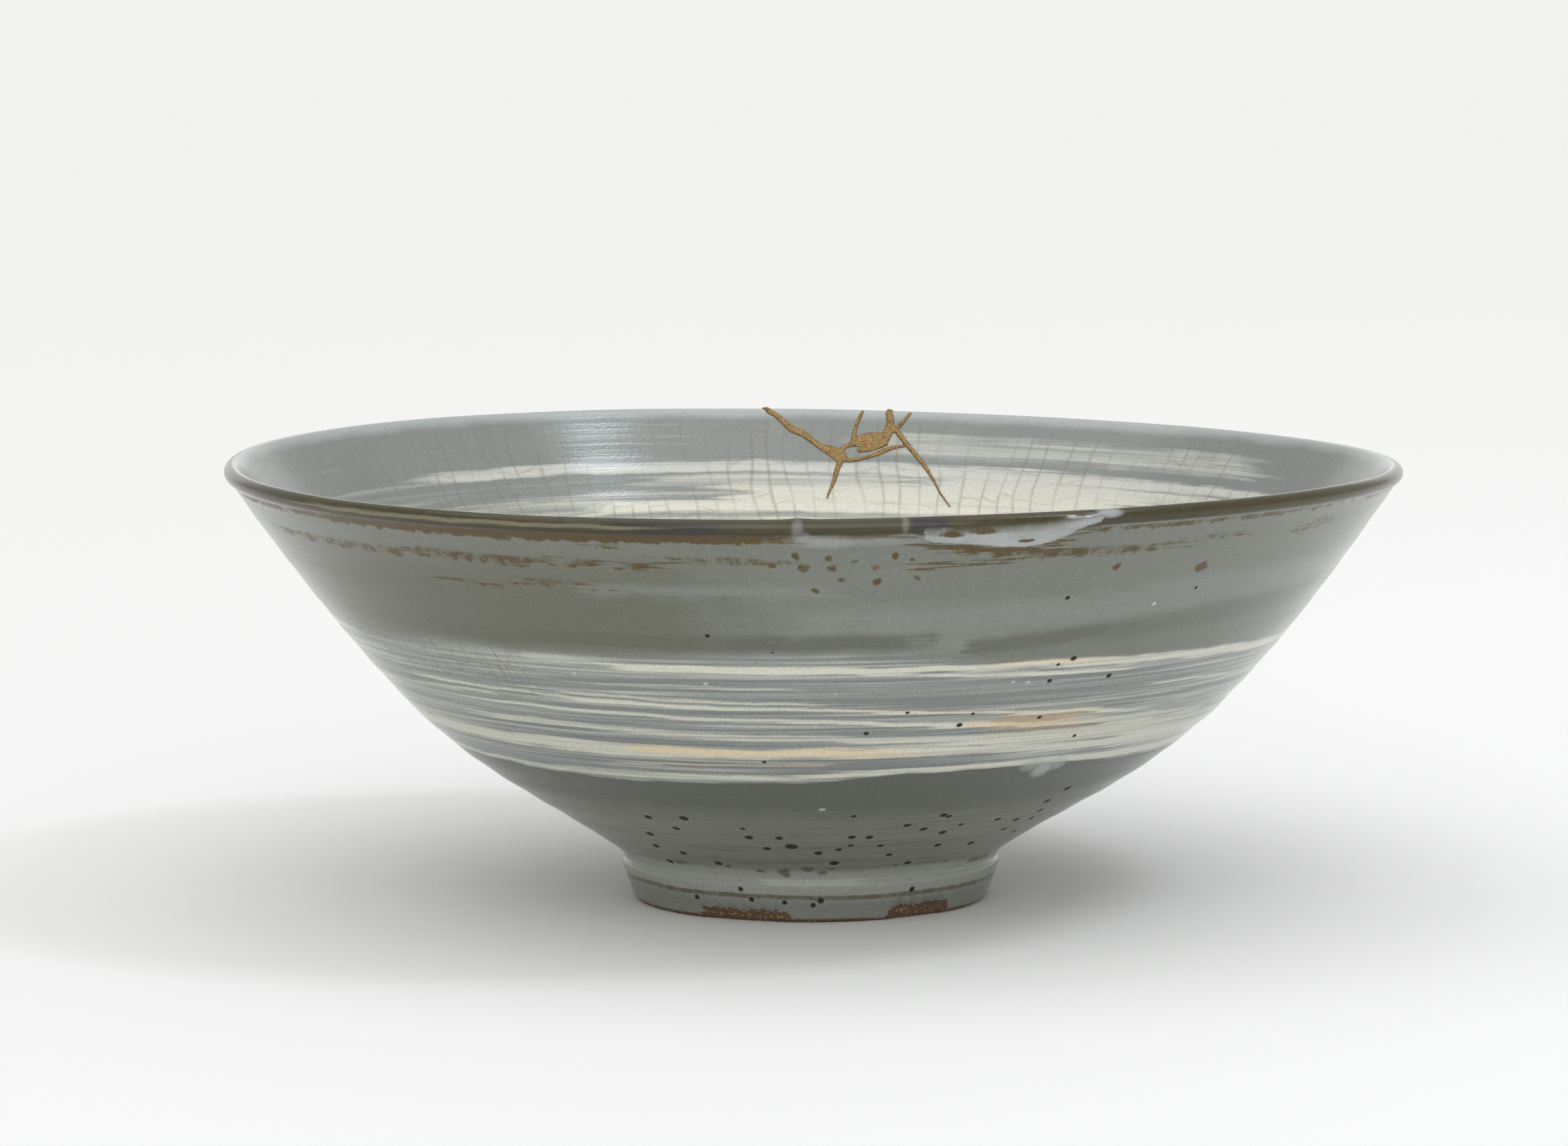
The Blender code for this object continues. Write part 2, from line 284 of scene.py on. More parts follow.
def bowl_surface():
    """The bowl as one closed fine mesh, with its rise and its distance from the crest at each vertex."""
    sides, points = [], []
    for side, run in section():
        points.append(run)
        sides += [side] * len(run)
    points = np.vstack(points)
    sides = np.array(sides)
    steps = np.linalg.norm(np.diff(points, axis=0), axis=1)
    track = np.concatenate([[0.0], np.cumsum(steps)])
    down = np.abs(track - track[sides.tolist().index(OUTSIDE)])
    along = np.gradient(points, axis=0)
    along /= np.linalg.norm(along, axis=1)[:, None]
    outward = np.stack([-along[:, 1], along[:, 0]], axis=1)
    turns = (np.arange(TURNS) / TURNS * 360.0 - 180.0)[:, None]
    radius, rise = points[:, 0][None, :], points[:, 1][None, :]
    walls = eased((rise - 9.0) / 4.0) * eased((61.0 - rise) / 3.0)
    is_outside = (sides == OUTSIDE)[None, :]
    rings = np.sin(2 * math.pi * track[None, :] / THROWING_PITCH + np.radians(turns))
    swell = THROWING_DEPTH * rings * walls + WALL_WAVER * ripple(turns, track[None, :], 3) * walls
    swell += RIDGE_HEIGHT * np.exp(-((rise - RIDGE_RISE) / RIDGE_HALF_WIDTH) ** 2) * is_outside
    swell += LIP_WAVER * ripple(turns * 3.0, track[None, :], 5) * eased((rise - 60.0) / 2.0)
    swell += glaze_run_height(turns, rise) * is_outside
    foot_face = is_outside & (rise < FOOT_SHOULDER) & (radius > FOOT_RADIUS - 0.01)
    depth = chip_depth(turns * np.ones_like(rise), radius, rise) * foot_face
    crumb = np.sin(turns * 2.9 + track * 9.0) * np.sin(turns * 1.7 - track * 7.0)
    crumb = crumb * CRUMB * eased(depth / 0.2)
    moved_radius = radius + swell * outward[:, 0] - depth + crumb
    moved_rise = rise + swell * outward[:, 1]
    angle = np.radians(turns)
    place = np.stack([moved_radius * np.cos(angle), moved_radius * np.sin(angle),
                      moved_rise * np.ones_like(angle)], axis=2)
    place = pulled(place)
    middle, under = place[:, 0].mean(axis=0), place[:, -1].mean(axis=0)
    ring = place[:, 1:-1]
    count = ring.shape[1]
    vertices = np.vstack([ring.reshape(-1, 3), middle, under]) * MM
    faces, slots = [], []
    for i in range(TURNS):
        here, there = i * count, (i + 1) % TURNS * count
        for j in range(count - 1):
            faces.append((here + j, there + j, there + j + 1, here + j + 1))
            slots.append(int(sides[j + 1] == OUTSIDE and sides[j + 2] == OUTSIDE))
        faces.append((len(vertices) - 2, there, here))
        slots.append(INSIDE)
        faces.append((len(vertices) - 1, here + count - 1, there + count - 1))
        slots.append(OUTSIDE)
    mesh = bpy.data.meshes.new("bowl_glazed")
    mesh.from_pydata(vertices.tolist(), [], faces)
    for name, values in (("rise", points[:, 1]), ("down", down)):
        layer = mesh.attributes.new(name, "FLOAT", "POINT")
        full = np.concatenate([np.tile(values[1:-1], TURNS), [values[0], values[-1]]])
        layer.data.foreach_set("value", full.astype(np.float32))
    mesh.polygons.foreach_set("material_index", np.array(slots, np.int32))
    mesh.update()
    mesh.shade_smooth()
    return mesh


def outside_place(turn, rise):
    """A point of the outer face in metres."""
    face = np.vstack([run for side, run in section() if side == OUTSIDE][:3])[::-1]
    radius = np.interp(rise, face[:, 1], face[:, 0])
    angle = math.radians(turn)
    place = pulled(np.array([radius * math.cos(angle), radius * math.sin(angle), rise]))
    return tuple(float(value) * MM for value in place)


# The lacquer repair

# Each stroke's stations: turn, millimetres down from the crest, and the stroke's width
LACQUER_STROKES = (
    ((95.0, -0.3, 0.9), (94.5, 0.3, 0.9), (93.7, 1.0, 0.8), (92.1, 2.9, 1.1), (91.0, 3.5, 1.1),
     (89.6, 4.9, 0.9), (88.6, 5.7, 1.2), (87.6, 6.2, 1.7), (86.7, 6.8, 1.9)),
    ((86.7, 7.0, 1.3), (85.7, 7.4, 0.7), (84.7, 7.25, 0.6), (83.4, 6.8, 0.6), (82.3, 6.25, 0.75),
     (81.4, 5.7, 0.8), (80.4, 5.3, 0.6), (79.5, 5.1, 0.5)),
    ((86.8, 6.4, 1.4), (86.3, 5.6, 0.7), (85.4, 5.0, 0.9), (84.7, 4.7, 1.5), (83.9, 4.4, 2.2),
     (83.1, 4.4, 2.5), (82.3, 4.3, 2.3), (81.8, 3.9, 1.7), (81.4, 2.9, 1.25), (81.3, 1.5, 1.1),
     (81.5, 0.2, 1.0), (81.5, -0.6, 0.8)),
    ((84.5, 5.9, 0.8), (83.4, 5.7, 0.9), (82.4, 5.2, 0.9), (81.7, 4.8, 1.0)),
    ((85.3, 4.7, 0.8), (85.1, 2.8, 0.6), (84.8, 1.5, 0.6), (84.4, 0.2, 0.5)),
    ((81.0, 3.0, 0.8), (80.3, 2.2, 0.7), (79.8, 1.4, 0.55), (79.2, 0.3, 0.5)),
    ((80.9, 2.4, 0.8), (80.1, 3.5, 0.8), (79.3, 4.7, 0.8), (78.4, 5.9, 0.75), (77.3, 7.3, 0.7),
     (76.5, 8.5, 0.6), (75.4, 10.3, 0.45), (74.5, 11.9, 0.38), (73.1, 13.7, 0.3)),
    ((86.6, 7.3, 0.95), (87.1, 9.1, 0.8), (87.4, 10.6, 0.7), (87.9, 12.0, 0.5), (88.2, 13.0, 0.32)),
)
# The stretch of the inner face that holds the repair, round it and down it, and the mesh's step there.
# Then how many dabs make a stroke for each of its stations, how far the lacquer stands proud, how deep its
# skin's edge lies in the clay, how much wider than its seam it was laid on, how uneven its top is and
# how thick the skin is.
LACQUER_ACROSS = (-9.0, 27.0)
LACQUER_DOWN = (-1.6, 17.5)
LACQUER_GRID = 0.13
LACQUER_DABS = 14
LACQUER_PROUD = 0.30
LACQUER_DEPTH = 0.25
LACQUER_SPREAD = 1.3
LACQUER_WANDER = 0.035
LACQUER_BODY = 0.5


def inner_face(down):
    """Places and outward directions of the inner face by the distance along it from the crest."""
    inside = np.vstack([inner_wall(np.linspace(WELL_END, 1.0, 200)),
                        arc(LIP_CENTRE, LIP_ROLL, math.pi - WALL_LEAN_AT_LIP, 0.0, 40)])[::-1]
    track = np.concatenate([[0.0], np.cumsum(np.linalg.norm(np.diff(inside, axis=0), axis=1))])
    crest = track[np.argmax(inside[:, 1])]
    along = np.gradient(inside, axis=0)
    along /= np.linalg.norm(along, axis=1)[:, None]
    at = np.asarray(down) + crest
    place = np.stack([np.interp(at, track, inside[:, k]) for k in (0, 1)], axis=-1)
    slope = np.stack([np.interp(at, track, along[:, k]) for k in (0, 1)], axis=-1)
    return place, np.stack([slope[..., 1], -slope[..., 0]], axis=-1)


def below_to_down(below):
    """The distance along the inner face for a depth below the crest."""
    down = np.linspace(0.0, 24.0, 400)
    place, _ = inner_face(down)
    return np.sign(below) * np.interp(np.abs(below), RIM_HEIGHT - place[:, 1], down)


def lacquer_height(across, down):
    """How high the lacquer stands at each point of the inner face; far below it, where there is none."""
    height = np.full(across.shape, -1.0)
    for stroke in LACQUER_STROKES:
        knots = [(math.radians(turn - 90.0) * -RIM_RADIUS, float(below_to_down(below)), width)
                 for turn, below, width in stroke]
        line = through(knots, LACQUER_DABS * len(knots))
        for x, y, width in line:
            half = width * LACQUER_SPREAD / 2
            reach = np.hypot(across - x, down - y) / half
            top = LACQUER_PROUD * min(1.0, 0.45 + 0.5 * width) + LACQUER_DEPTH
            dome = top * np.sqrt(np.clip(1.0 - reach**2, 0.0, 1.0)) ** 0.8
            height = np.maximum(height, dome - LACQUER_DEPTH)
    wander = np.sin(across * 2.3) * np.sin(down * 3.1 + across) + 0.6 * np.sin(across * 5.7 - down * 4.9)
    return np.where(height > -LACQUER_DEPTH + 1e-6, height + LACQUER_WANDER * wander, -1.0)


def lacquer_surface():
    """The seams as a raised skin on the inner face, made solid with a thickness into the clay."""
    across = np.arange(*LACQUER_ACROSS, LACQUER_GRID)[:, None]
    down = np.arange(*LACQUER_DOWN, LACQUER_GRID)[None, :]
    across, down = np.broadcast_arrays(across, down)
    height = lacquer_height(across, down)
    stands = height[height > -LACQUER_DEPTH] / LACQUER_PROUD
    place, outward = inner_face(down)
    keep = height > -LACQUER_DEPTH
    angle = np.radians(90.0) - across / RIM_RADIUS
    radius = place[..., 0] + outward[..., 0] * height
    rise = place[..., 1] + outward[..., 1] * height
    top = pulled(np.stack([radius * np.cos(angle), radius * np.sin(angle), rise], axis=2)) * MM
    index = np.cumsum(keep.ravel()).reshape(keep.shape) - 1
    whole = keep[:-1, :-1] & keep[1:, :-1] & keep[1:, 1:] & keep[:-1, 1:]
    faces = [(int(index[i, j]), int(index[i, j + 1]), int(index[i + 1, j + 1]), int(index[i + 1, j]))
             for i, j in zip(*np.nonzero(whole))]
    mesh = bpy.data.meshes.new("lacquer_repair")
    mesh.from_pydata(top[keep].tolist(), [], faces)
    layer = mesh.attributes.new("stands", "FLOAT", "POINT")
    layer.data.foreach_set("value", stands.astype(np.float32))
    mesh.update()
    mesh.shade_smooth()
    return mesh


# Materials

# Cells of noise in a millimetre: clouds in the glaze about 20 mm across, drifts of 10 mm and blotches of
# 2 mm. The grain of undissolved ash is really 0.1 to 0.2 mm, and is drawn 0.4 mm wide to show.
CLOUD_OUTSIDE, CLOUD_INSIDE = 0.045, 0.06
DRIFT_OUTSIDE, DRIFT_INSIDE = 0.11, 0.10
BLOTCH = 0.55
GRAIN = 2.4

MATH, VECTOR, RANGE = "ShaderNodeMath", "ShaderNodeVectorMath", "ShaderNodeMapRange"
MIX, NOISE, VORONOI = "ShaderNodeMix", "ShaderNodeTexNoise", "ShaderNodeTexVoronoi"
ATTRIBUTE, GROUP, CURVE = "ShaderNodeAttribute", "ShaderNodeGroup", "ShaderNodeFloatCurve"
FACTOR, UNDER, OVER, MIXED = 0, 6, 7, 2


def linear(hex_colour):
    """An sRGB hex colour as linear RGBA."""
    channels = [int(hex_colour[i:i + 2], 16) / 255 for i in (1, 3, 5)]
    return (*[c / 12.92 if c <= 0.04045 else ((c + 0.055) / 1.055) ** 2.4 for c in channels], 1.0)


def add(tree, kind, inputs=None, output=0, **settings):
    """Adds a node with its settings, fills or links its inputs, and returns one of its outputs."""
    made = tree.nodes.new(kind)
    for name, value in settings.items():
        setattr(made, name, value)
    for place, value in (inputs or {}).items():
        if isinstance(value, bpy.types.NodeSocket):
            tree.links.new(value, made.inputs[place])
        else:
            made.inputs[place].default_value = value
    return made.outputs[output]


def new_material(name):
    material = bpy.data.materials.new(name)
    material.use_nodes = True
    tree = material.node_tree
    return material, tree, tree.nodes["Principled BSDF"]


def painted(tree, colour, mask, hex_colour, strength=None):
    """A colour with another laid over it where a mask says, at a share of its strength if one is given."""
    over = linear(hex_colour) if isinstance(hex_colour, str) else hex_colour
    if strength:
        mask = add(tree, MATH, {0: mask, 1: strength}, operation="MULTIPLY")
    return add(tree, MIX, {FACTOR: mask, UNDER: colour, OVER: over}, MIXED, data_type="RGBA")


def speckled(tree, colour, grain, darkest, spread):
    """A colour made a little darker and lighter by the grain of undissolved ash."""
    tint = add(tree, MATH, {0: grain, 1: spread, 2: darkest}, operation="MULTIPLY_ADD")
    tint = add(tree, "ShaderNodeCombineColor", {0: tint, 1: tint, 2: tint})
    inputs = {FACTOR: 1.0, UNDER: colour, OVER: tint}
    return add(tree, MIX, inputs, MIXED, data_type="RGBA", blend_type="MULTIPLY")


def finish_glaze(tree, shader, colour, rough, height):
    """Gives a glaze its colour, its glassy skin and the fine relief of grain and brush, in millimetres."""
    tree.links.new(colour, shader.inputs["Base Color"])
    tree.links.new(rough, shader.inputs["Roughness"])
    shader.inputs["IOR"].default_value = 1.5
    relief = add(tree, "ShaderNodeBump", {"Strength": 1.0, "Distance": MM, "Height": height})
    tree.links.new(relief, shader.inputs["Normal"])


def ramp(tree, value, low, high, bottom=0.0, top=1.0):
    """A value turned into a mask, with soft ends."""
    ends = {0: value, 1: low, 2: high, 3: bottom, 4: top}
    return add(tree, RANGE, ends, interpolation_type="SMOOTHSTEP", clamp=False)


def new_mark(name, inputs):
    """Starts a node group that draws one mark, with the turn's distance from the mark's middle."""
    tree = bpy.data.node_groups.new(name, "ShaderNodeTree")
    for socket in ("turn", "rise", *inputs):
        tree.interface.new_socket(socket, in_out="INPUT", socket_type="NodeSocketFloat")
    tree.interface.new_socket("cover", in_out="OUTPUT", socket_type="NodeSocketFloat")
    given = tree.nodes.new("NodeGroupInput").outputs
    aside = add(tree, MATH, {0: given["turn"], 1: given["middle"]}, operation="SUBTRACT")
    aside = add(tree, MATH, {0: aside, 1: 180.0, 2: -180.0}, operation="WRAP")
    return tree, given, aside


def finish_mark(tree, given, cover):
    cover = add(tree, MATH, {0: cover, 1: given["strength"]}, operation="MULTIPLY")
    result = tree.nodes.new("NodeGroupOutput")
    tree.links.new(cover, result.inputs["cover"])
    return tree


def brush_stroke():
    """How fully one brush stroke covers a point. Its line falls and bends with the turn."""
    tree, given, aside = new_mark("brush stroke", STROKE_INPUTS)
    slope = add(tree, MATH, {0: aside, 1: given["bend"], 2: given["fall"]}, operation="MULTIPLY_ADD")
    line = add(tree, MATH, {0: aside, 1: slope, 2: given["height"]}, operation="MULTIPLY_ADD")
    off = add(tree, MATH, {0: given["rise"], 1: line}, operation="SUBTRACT")
    off = add(tree, MATH, {0: off, 1: given["width"]}, operation="DIVIDE")
    off = add(tree, MATH, {0: off}, operation="ABSOLUTE")
    far = add(tree, MATH, {0: aside, 1: given["reach"]}, operation="DIVIDE")
    far = add(tree, MATH, {0: far}, operation="ABSOLUTE")
    cover = {0: ramp(tree, off, 1.6, 0.35), 1: ramp(tree, far, 1.05, 0.7)}
    return finish_mark(tree, given, add(tree, MATH, cover, operation="MULTIPLY"))


def soft_patch():
    """How fully one soft oval patch covers a point: full in its middle and nothing at its edge."""
    tree, given, aside = new_mark("soft patch", PATCH_INPUTS)
    aside = add(tree, MATH, {0: aside, 1: given["reach"]}, operation="DIVIDE")
    off = add(tree, MATH, {0: given["rise"], 1: given["height"]}, operation="SUBTRACT")
    off = add(tree, MATH, {0: off, 1: given["width"]}, operation="DIVIDE")
    aside = add(tree, MATH, {0: aside, 1: aside}, operation="MULTIPLY")
    far = add(tree, MATH, {0: off, 1: off, 2: aside}, operation="MULTIPLY_ADD")
    return finish_mark(tree, given, ramp(tree, far, 1.4, 0.0))


# What a patch's and a stroke's numbers mean, in their order; a stroke without its last two is level
PATCH_INPUTS = ("middle", "reach", "height", "width", "strength")
STROKE_INPUTS = ("middle", "reach", "height", "width", "strength", "fall", "bend")
PATCH, STROKE = soft_patch(), brush_stroke()


def where_on_bowl(tree):
    """Turn in degrees, rise and distance from the crest in millimetres, and the place as a vector."""
    place = add(tree, "ShaderNodeTexCoord", output=3)
    place = add(tree, VECTOR, {0: place, 1: (1000.0, 1000.0, 1000.0)}, operation="MULTIPLY")
    split = tree.nodes.new("ShaderNodeSeparateXYZ")
    tree.links.new(place, split.inputs[0])
    turn = add(tree, MATH, {0: split.outputs[1], 1: split.outputs[0]}, operation="ARCTAN2")
    turn = add(tree, MATH, {0: turn}, operation="DEGREES")
    rise = add(tree, ATTRIBUTE, output=2, attribute_name="rise")
    down = add(tree, ATTRIBUTE, output=2, attribute_name="down")
    return turn, rise, down, place


def round_the_bowl(tree, place, down, round_scale, down_scale):
    """Noise coordinates drawn out round the bowl, with no seam: long one way and fine the other."""
    flat = add(tree, VECTOR, {0: place, 1: (1.0, 1.0, 0.0)}, operation="MULTIPLY")
    flat = add(tree, VECTOR, {0: flat}, operation="NORMALIZE")
    flat = add(tree, VECTOR, {0: flat, 1: (round_scale, round_scale, 0.0)}, operation="MULTIPLY")
    lift = add(tree, MATH, {0: down, 1: down_scale}, operation="MULTIPLY")
    lift = add(tree, "ShaderNodeCombineXYZ", {2: lift})
    return add(tree, VECTOR, {0: flat, 1: lift}, operation="ADD")


def shaken(tree, value, noise, amount):
    """A coordinate that wanders by a noise, so that what is painted by it has a ragged edge."""
    centred = add(tree, MATH, {0: noise, 1: 0.5}, operation="SUBTRACT")
    return add(tree, MATH, {0: centred, 1: amount, 2: value}, operation="MULTIPLY_ADD")


def strongest(tree, turn, rise, marks, group, names):
    """The strongest at each point of several marks that one group draws."""
    cover = 0.0
    for mark in marks:
        one = add(tree, GROUP, {"turn": turn, "rise": rise, **dict(zip(names, mark))}, node_tree=group)
        cover = add(tree, MATH, {0: one, 1: cover}, operation="MAXIMUM")
    return cover


def strokes_cover(tree, turn, rise, strokes):
    return strongest(tree, turn, rise, strokes, STROKE, STROKE_INPUTS)


def patches_cover(tree, turn, rise, patches):
    return strongest(tree, turn, rise, patches, PATCH, PATCH_INPUTS)


def nearest_spot(tree, place, spots):
    """The distance to the nearest of several round spots, as a share of its own radius."""
    nearest = 9.0
    for turn, rise, radius in spots:
        centre = tuple(value / MM for value in outside_place(turn, rise))
        far = add(tree, VECTOR, {0: place, 1: centre}, output=1, operation="DISTANCE")
        far = add(tree, MATH, {0: far, 1: radius}, operation="DIVIDE")
        nearest = add(tree, MATH, {0: far, 1: nearest}, operation="MINIMUM")
    return nearest


def edge_round(tree, turn, knots):
    """A rise that changes with the turn, as a curve through a few knots."""
    node = tree.nodes.new(CURVE)
    tree.links.new(turn, node.inputs[1])
    curve = node.mapping
    curve.clip_min_x, curve.clip_max_x, curve.clip_min_y, curve.clip_max_y = -180.0, 180.0, 0.0, 100.0
    line = curve.curves[0]
    line.points[0].location = knots[0]
    line.points[1].location = knots[-1]
    for knot in knots[1:-1]:
        line.points.new(*knot)
    curve.update()
    return node.outputs[0]


def crackle(tree, place, down, scales, bend, width):
    """A net of fine cracks. The scales are cells in a radian round the bowl and in a millimetre down it."""
    bent = add(tree, NOISE, {"Vector": place, "Scale": 0.16, "Detail": 2.0}, output=1)
    net = round_the_bowl(tree, place, down, *scales)
    net = add(tree, VECTOR, {0: bent, 1: (bend, bend, bend), 2: net}, operation="MULTIPLY_ADD")
    edge = add(tree, VORONOI, {"Vector": net, "Scale": 1.0, "Randomness": 0.6}, feature="DISTANCE_TO_EDGE")
    return ramp(tree, edge, width, 0.0)


# Columns of crackle are 3.7 mm wide at the rim, and their cross cracks 5 mm apart
CRACKS_A_DEGREE = 0.40
CRACKS_A_MILLIMETRE = 0.20


def wall_crackle(tree, turn, down, place):
    """Cracks that run down the inner wall, with cross cracks that step from column to column."""
    bent = add(tree, NOISE, {"Vector": place, "Scale": 0.07, "Detail": 1.0})
    columns = add(tree, MATH, {0: turn, 1: CRACKS_A_DEGREE}, operation="MULTIPLY")
    columns = shaken(tree, columns, bent, 1.6)
    upright = add(tree, VORONOI, {"W": columns, "Scale": 1.0, "Randomness": 0.8},
                  feature="DISTANCE_TO_EDGE", voronoi_dimensions="1D")
    column = add(tree, VORONOI, {"W": columns, "Scale": 1.0, "Randomness": 0.8}, 1, voronoi_dimensions="1D")
    rows = add(tree, MATH, {0: down, 1: CRACKS_A_MILLIMETRE}, operation="MULTIPLY")
    rows = add(tree, MATH, {0: column, 1: 9.0, 2: rows}, operation="MULTIPLY_ADD")
    rows = shaken(tree, rows, bent, 2.2)
    level = add(tree, VORONOI, {"W": rows, "Scale": 1.0, "Randomness": 0.8},
                feature="DISTANCE_TO_EDGE", voronoi_dimensions="1D")
    upright, level = ramp(tree, upright, 0.13, 0.0), ramp(tree, level, 0.07, 0.0, 0.0, 0.7)
    return add(tree, MATH, {0: upright, 1: level}, operation="MAXIMUM")


# Every stroke below is given as its middle turn, how many degrees it reaches either way, its rise
# there, its half width in millimetres and its strength, then its fall and its bend with the turn where
# it has them

# The brush went round the outside once, and left a veil of slip between these two edges
VEIL_TOP = (
    (-180, 43.6), (-150, 43.6), (-140, 44.4), (-115, 44.1), (-90, 44.6), (-79, 44), (-71, 43), (-60, 42.5),
    (-37, 41.9), (0, 41.5), (60, 42.6), (120, 43.4), (180, 43.6))
VEIL_FOOT = (
    (-180, 24.1), (-150, 24), (-92, 23.9), (-84, 24.5), (-72, 25.3), (-61, 25.5), (-48, 25), (-27, 24.4),
    (0, 24.1), (90, 24.3), (180, 24.1))

# White and cream streaks where the slip stayed thick
SLIP_STROKES = (
    (-116, 8, 42.4, 0.75, 0.55, -0.05),
    (-99, 16, 41.7, 0.62, 0.95, -0.01),
    (-78, 22, 41.4, 0.62, 1, -0.006),
    (-42, 32, 40.7, 0.75, 0.95, -0.03),
    (-62, 17, 39.9, 0.36, 0.85, -0.03),
    (-140, 24, 40.3, 0.45, 0.45, 0.03),
    (-104, 14, 38.9, 0.32, 0.62, -0.025),
    (-108, 22, 37, 0.28, 0.8, -0.035),
    (-95, 64, 35.7, 0.3, 0.92, -0.042, -0.0003),
    (-145, 16, 35.9, 0.34, 0.85, 0.02),
    (-86, 62, 33.5, 0.36, 0.92, -0.045, -0.0004),
    (-50, 30, 31.8, 0.7, 0.8, -0.045),
    (-85, 66, 31, 0.62, 0.8, -0.035, -0.0002),
    (-40, 34, 29.6, 1.2, 0.85, -0.02),
    (-135, 34, 28.9, 1.05, 1, -0.004),
    (-96, 30, 28.8, 0.85, 1, -0.008),
    (-58, 34, 28.3, 0.75, 1, -0.03),
    (-20, 30, 27.6, 1.6, 1, -0.02),
    (-106, 20, 26.9, 0.34, 0.75, 0.015),
    (-122, 36, 24.6, 0.45, 0.85),
    (-64, 34, 25.9, 0.55, 1, 0.004, -0.001),
    (-20, 28, 25.3, 0.85, 0.95, -0.01),
    (-36, 12, 36.4, 0.32, 0.8, -0.02),
    (-36, 9, 34.6, 0.25, 0.62, -0.06),
    (50, 74, 40.8, 0.65, 0.95, 0.01),
    (150, 60, 42, 0.6, 0.9, 0.01),
    (30, 56, 36.8, 0.4, 0.8, -0.02),
    (152, 50, 37.6, 0.45, 0.75, -0.02),
    (74, 60, 33.4, 0.45, 0.8, 0.015),
    (165, 46, 34.4, 0.35, 0.8, 0.015),
    (60, 84, 29.2, 1.3, 1, -0.008),
    (165, 60, 28.8, 1.1, 0.95, 0.008),
    (60, 90, 25.4, 0.5, 0.9, 0.002),
    (160, 60, 25, 0.45, 0.85, -0.006),
)

# A drip of slip at the lower edge of the veil, as soft oval patches: middle turn, degrees either
# way, rise, millimetres either way and strength
SLIP_DRIP = (
    (-56.6, 2.4, 25.3, 1.1, 0.6),
    (-54, 2, 24.5, 1.5, 0.85),
    (-51.8, 2, 25.1, 1.1, 0.6),
)

# Quiet bands that the brush swept nearly clean
QUIET_STROKES = (
    (-72, 34, 37.9, 1.15, 1, -0.02),
    (-122, 12, 38.4, 0.6, 0.7),
    (-138, 18, 26.2, 0.55, 1, -0.015),
    (-80, 20, 26.8, 0.5, 1, 0.03),
    (-100, 20, 30.2, 0.4, 0.8),
    (40, 60, 38.6, 0.9, 0.9),
    (130, 70, 31.4, 0.9, 0.9),
)

# Cream that fired peach, and ochre blotches in it
PEACH_STROKES = (
    (-63.5, 9, 41.9, 0.45, 0.75, -0.03),
    (-98, 22, 29.1, 0.7, 0.85, -0.008),
    (-74, 16, 35, 0.25, 0.85, -0.042),
    (-104, 14, 26.9, 0.5, 0.9),
    (-60, 10, 32.3, 1.5, 0.75, -0.05),
    (40, 20, 29.3, 0.7, 0.7),
    (160, 18, 28.9, 0.7, 0.7),
)
OCHRE_STROKES = (
    (-59, 7.5, 33, 0.55, 0.95, -0.05),
    (-62, 7, 31.6, 0.4, 0.75, -0.05),
    (-94, 6, 27, 0.4, 0.5),
    (150, 9, 33.4, 0.5, 0.8),
)

# The glaze above the veil: olive where it is thin, pale where it is thick, dark in long lenses
OLIVE_STROKES = (
    (-136, 40, 49.5, 6.5, 0.75, 0.05),
    (-128, 34, 45.9, 1.5, 0.9),
    (-104, 12, 45.8, 1, 0.6),
    (100, 50, 50, 4, 0.8),
)
PALE_STROKES = (
    (-68, 26, 48.9, 2.3, 0.85, 0.02),
    (-34, 26, 51, 2.2, 0.85, 0.02),
    (-75.5, 6, 45.3, 1.8, 0.8),
    (-100, 14, 53.4, 0.9, 0.55),
    (-150, 12, 58.6, 1, 0.5),
    (20, 40, 52, 2.4, 0.8),
    (165, 30, 47.5, 2, 0.7),
)
LENS_STROKES = (
    (-89, 12, 45.6, 1.15, 0.9, 0.01),
    (-64, 8.5, 45.3, 1.1, 0.85, 0.12),
    (-40, 22, 46.8, 1.6, 0.55, 0.06),
    (60, 30, 45.4, 1.1, 0.7),
)

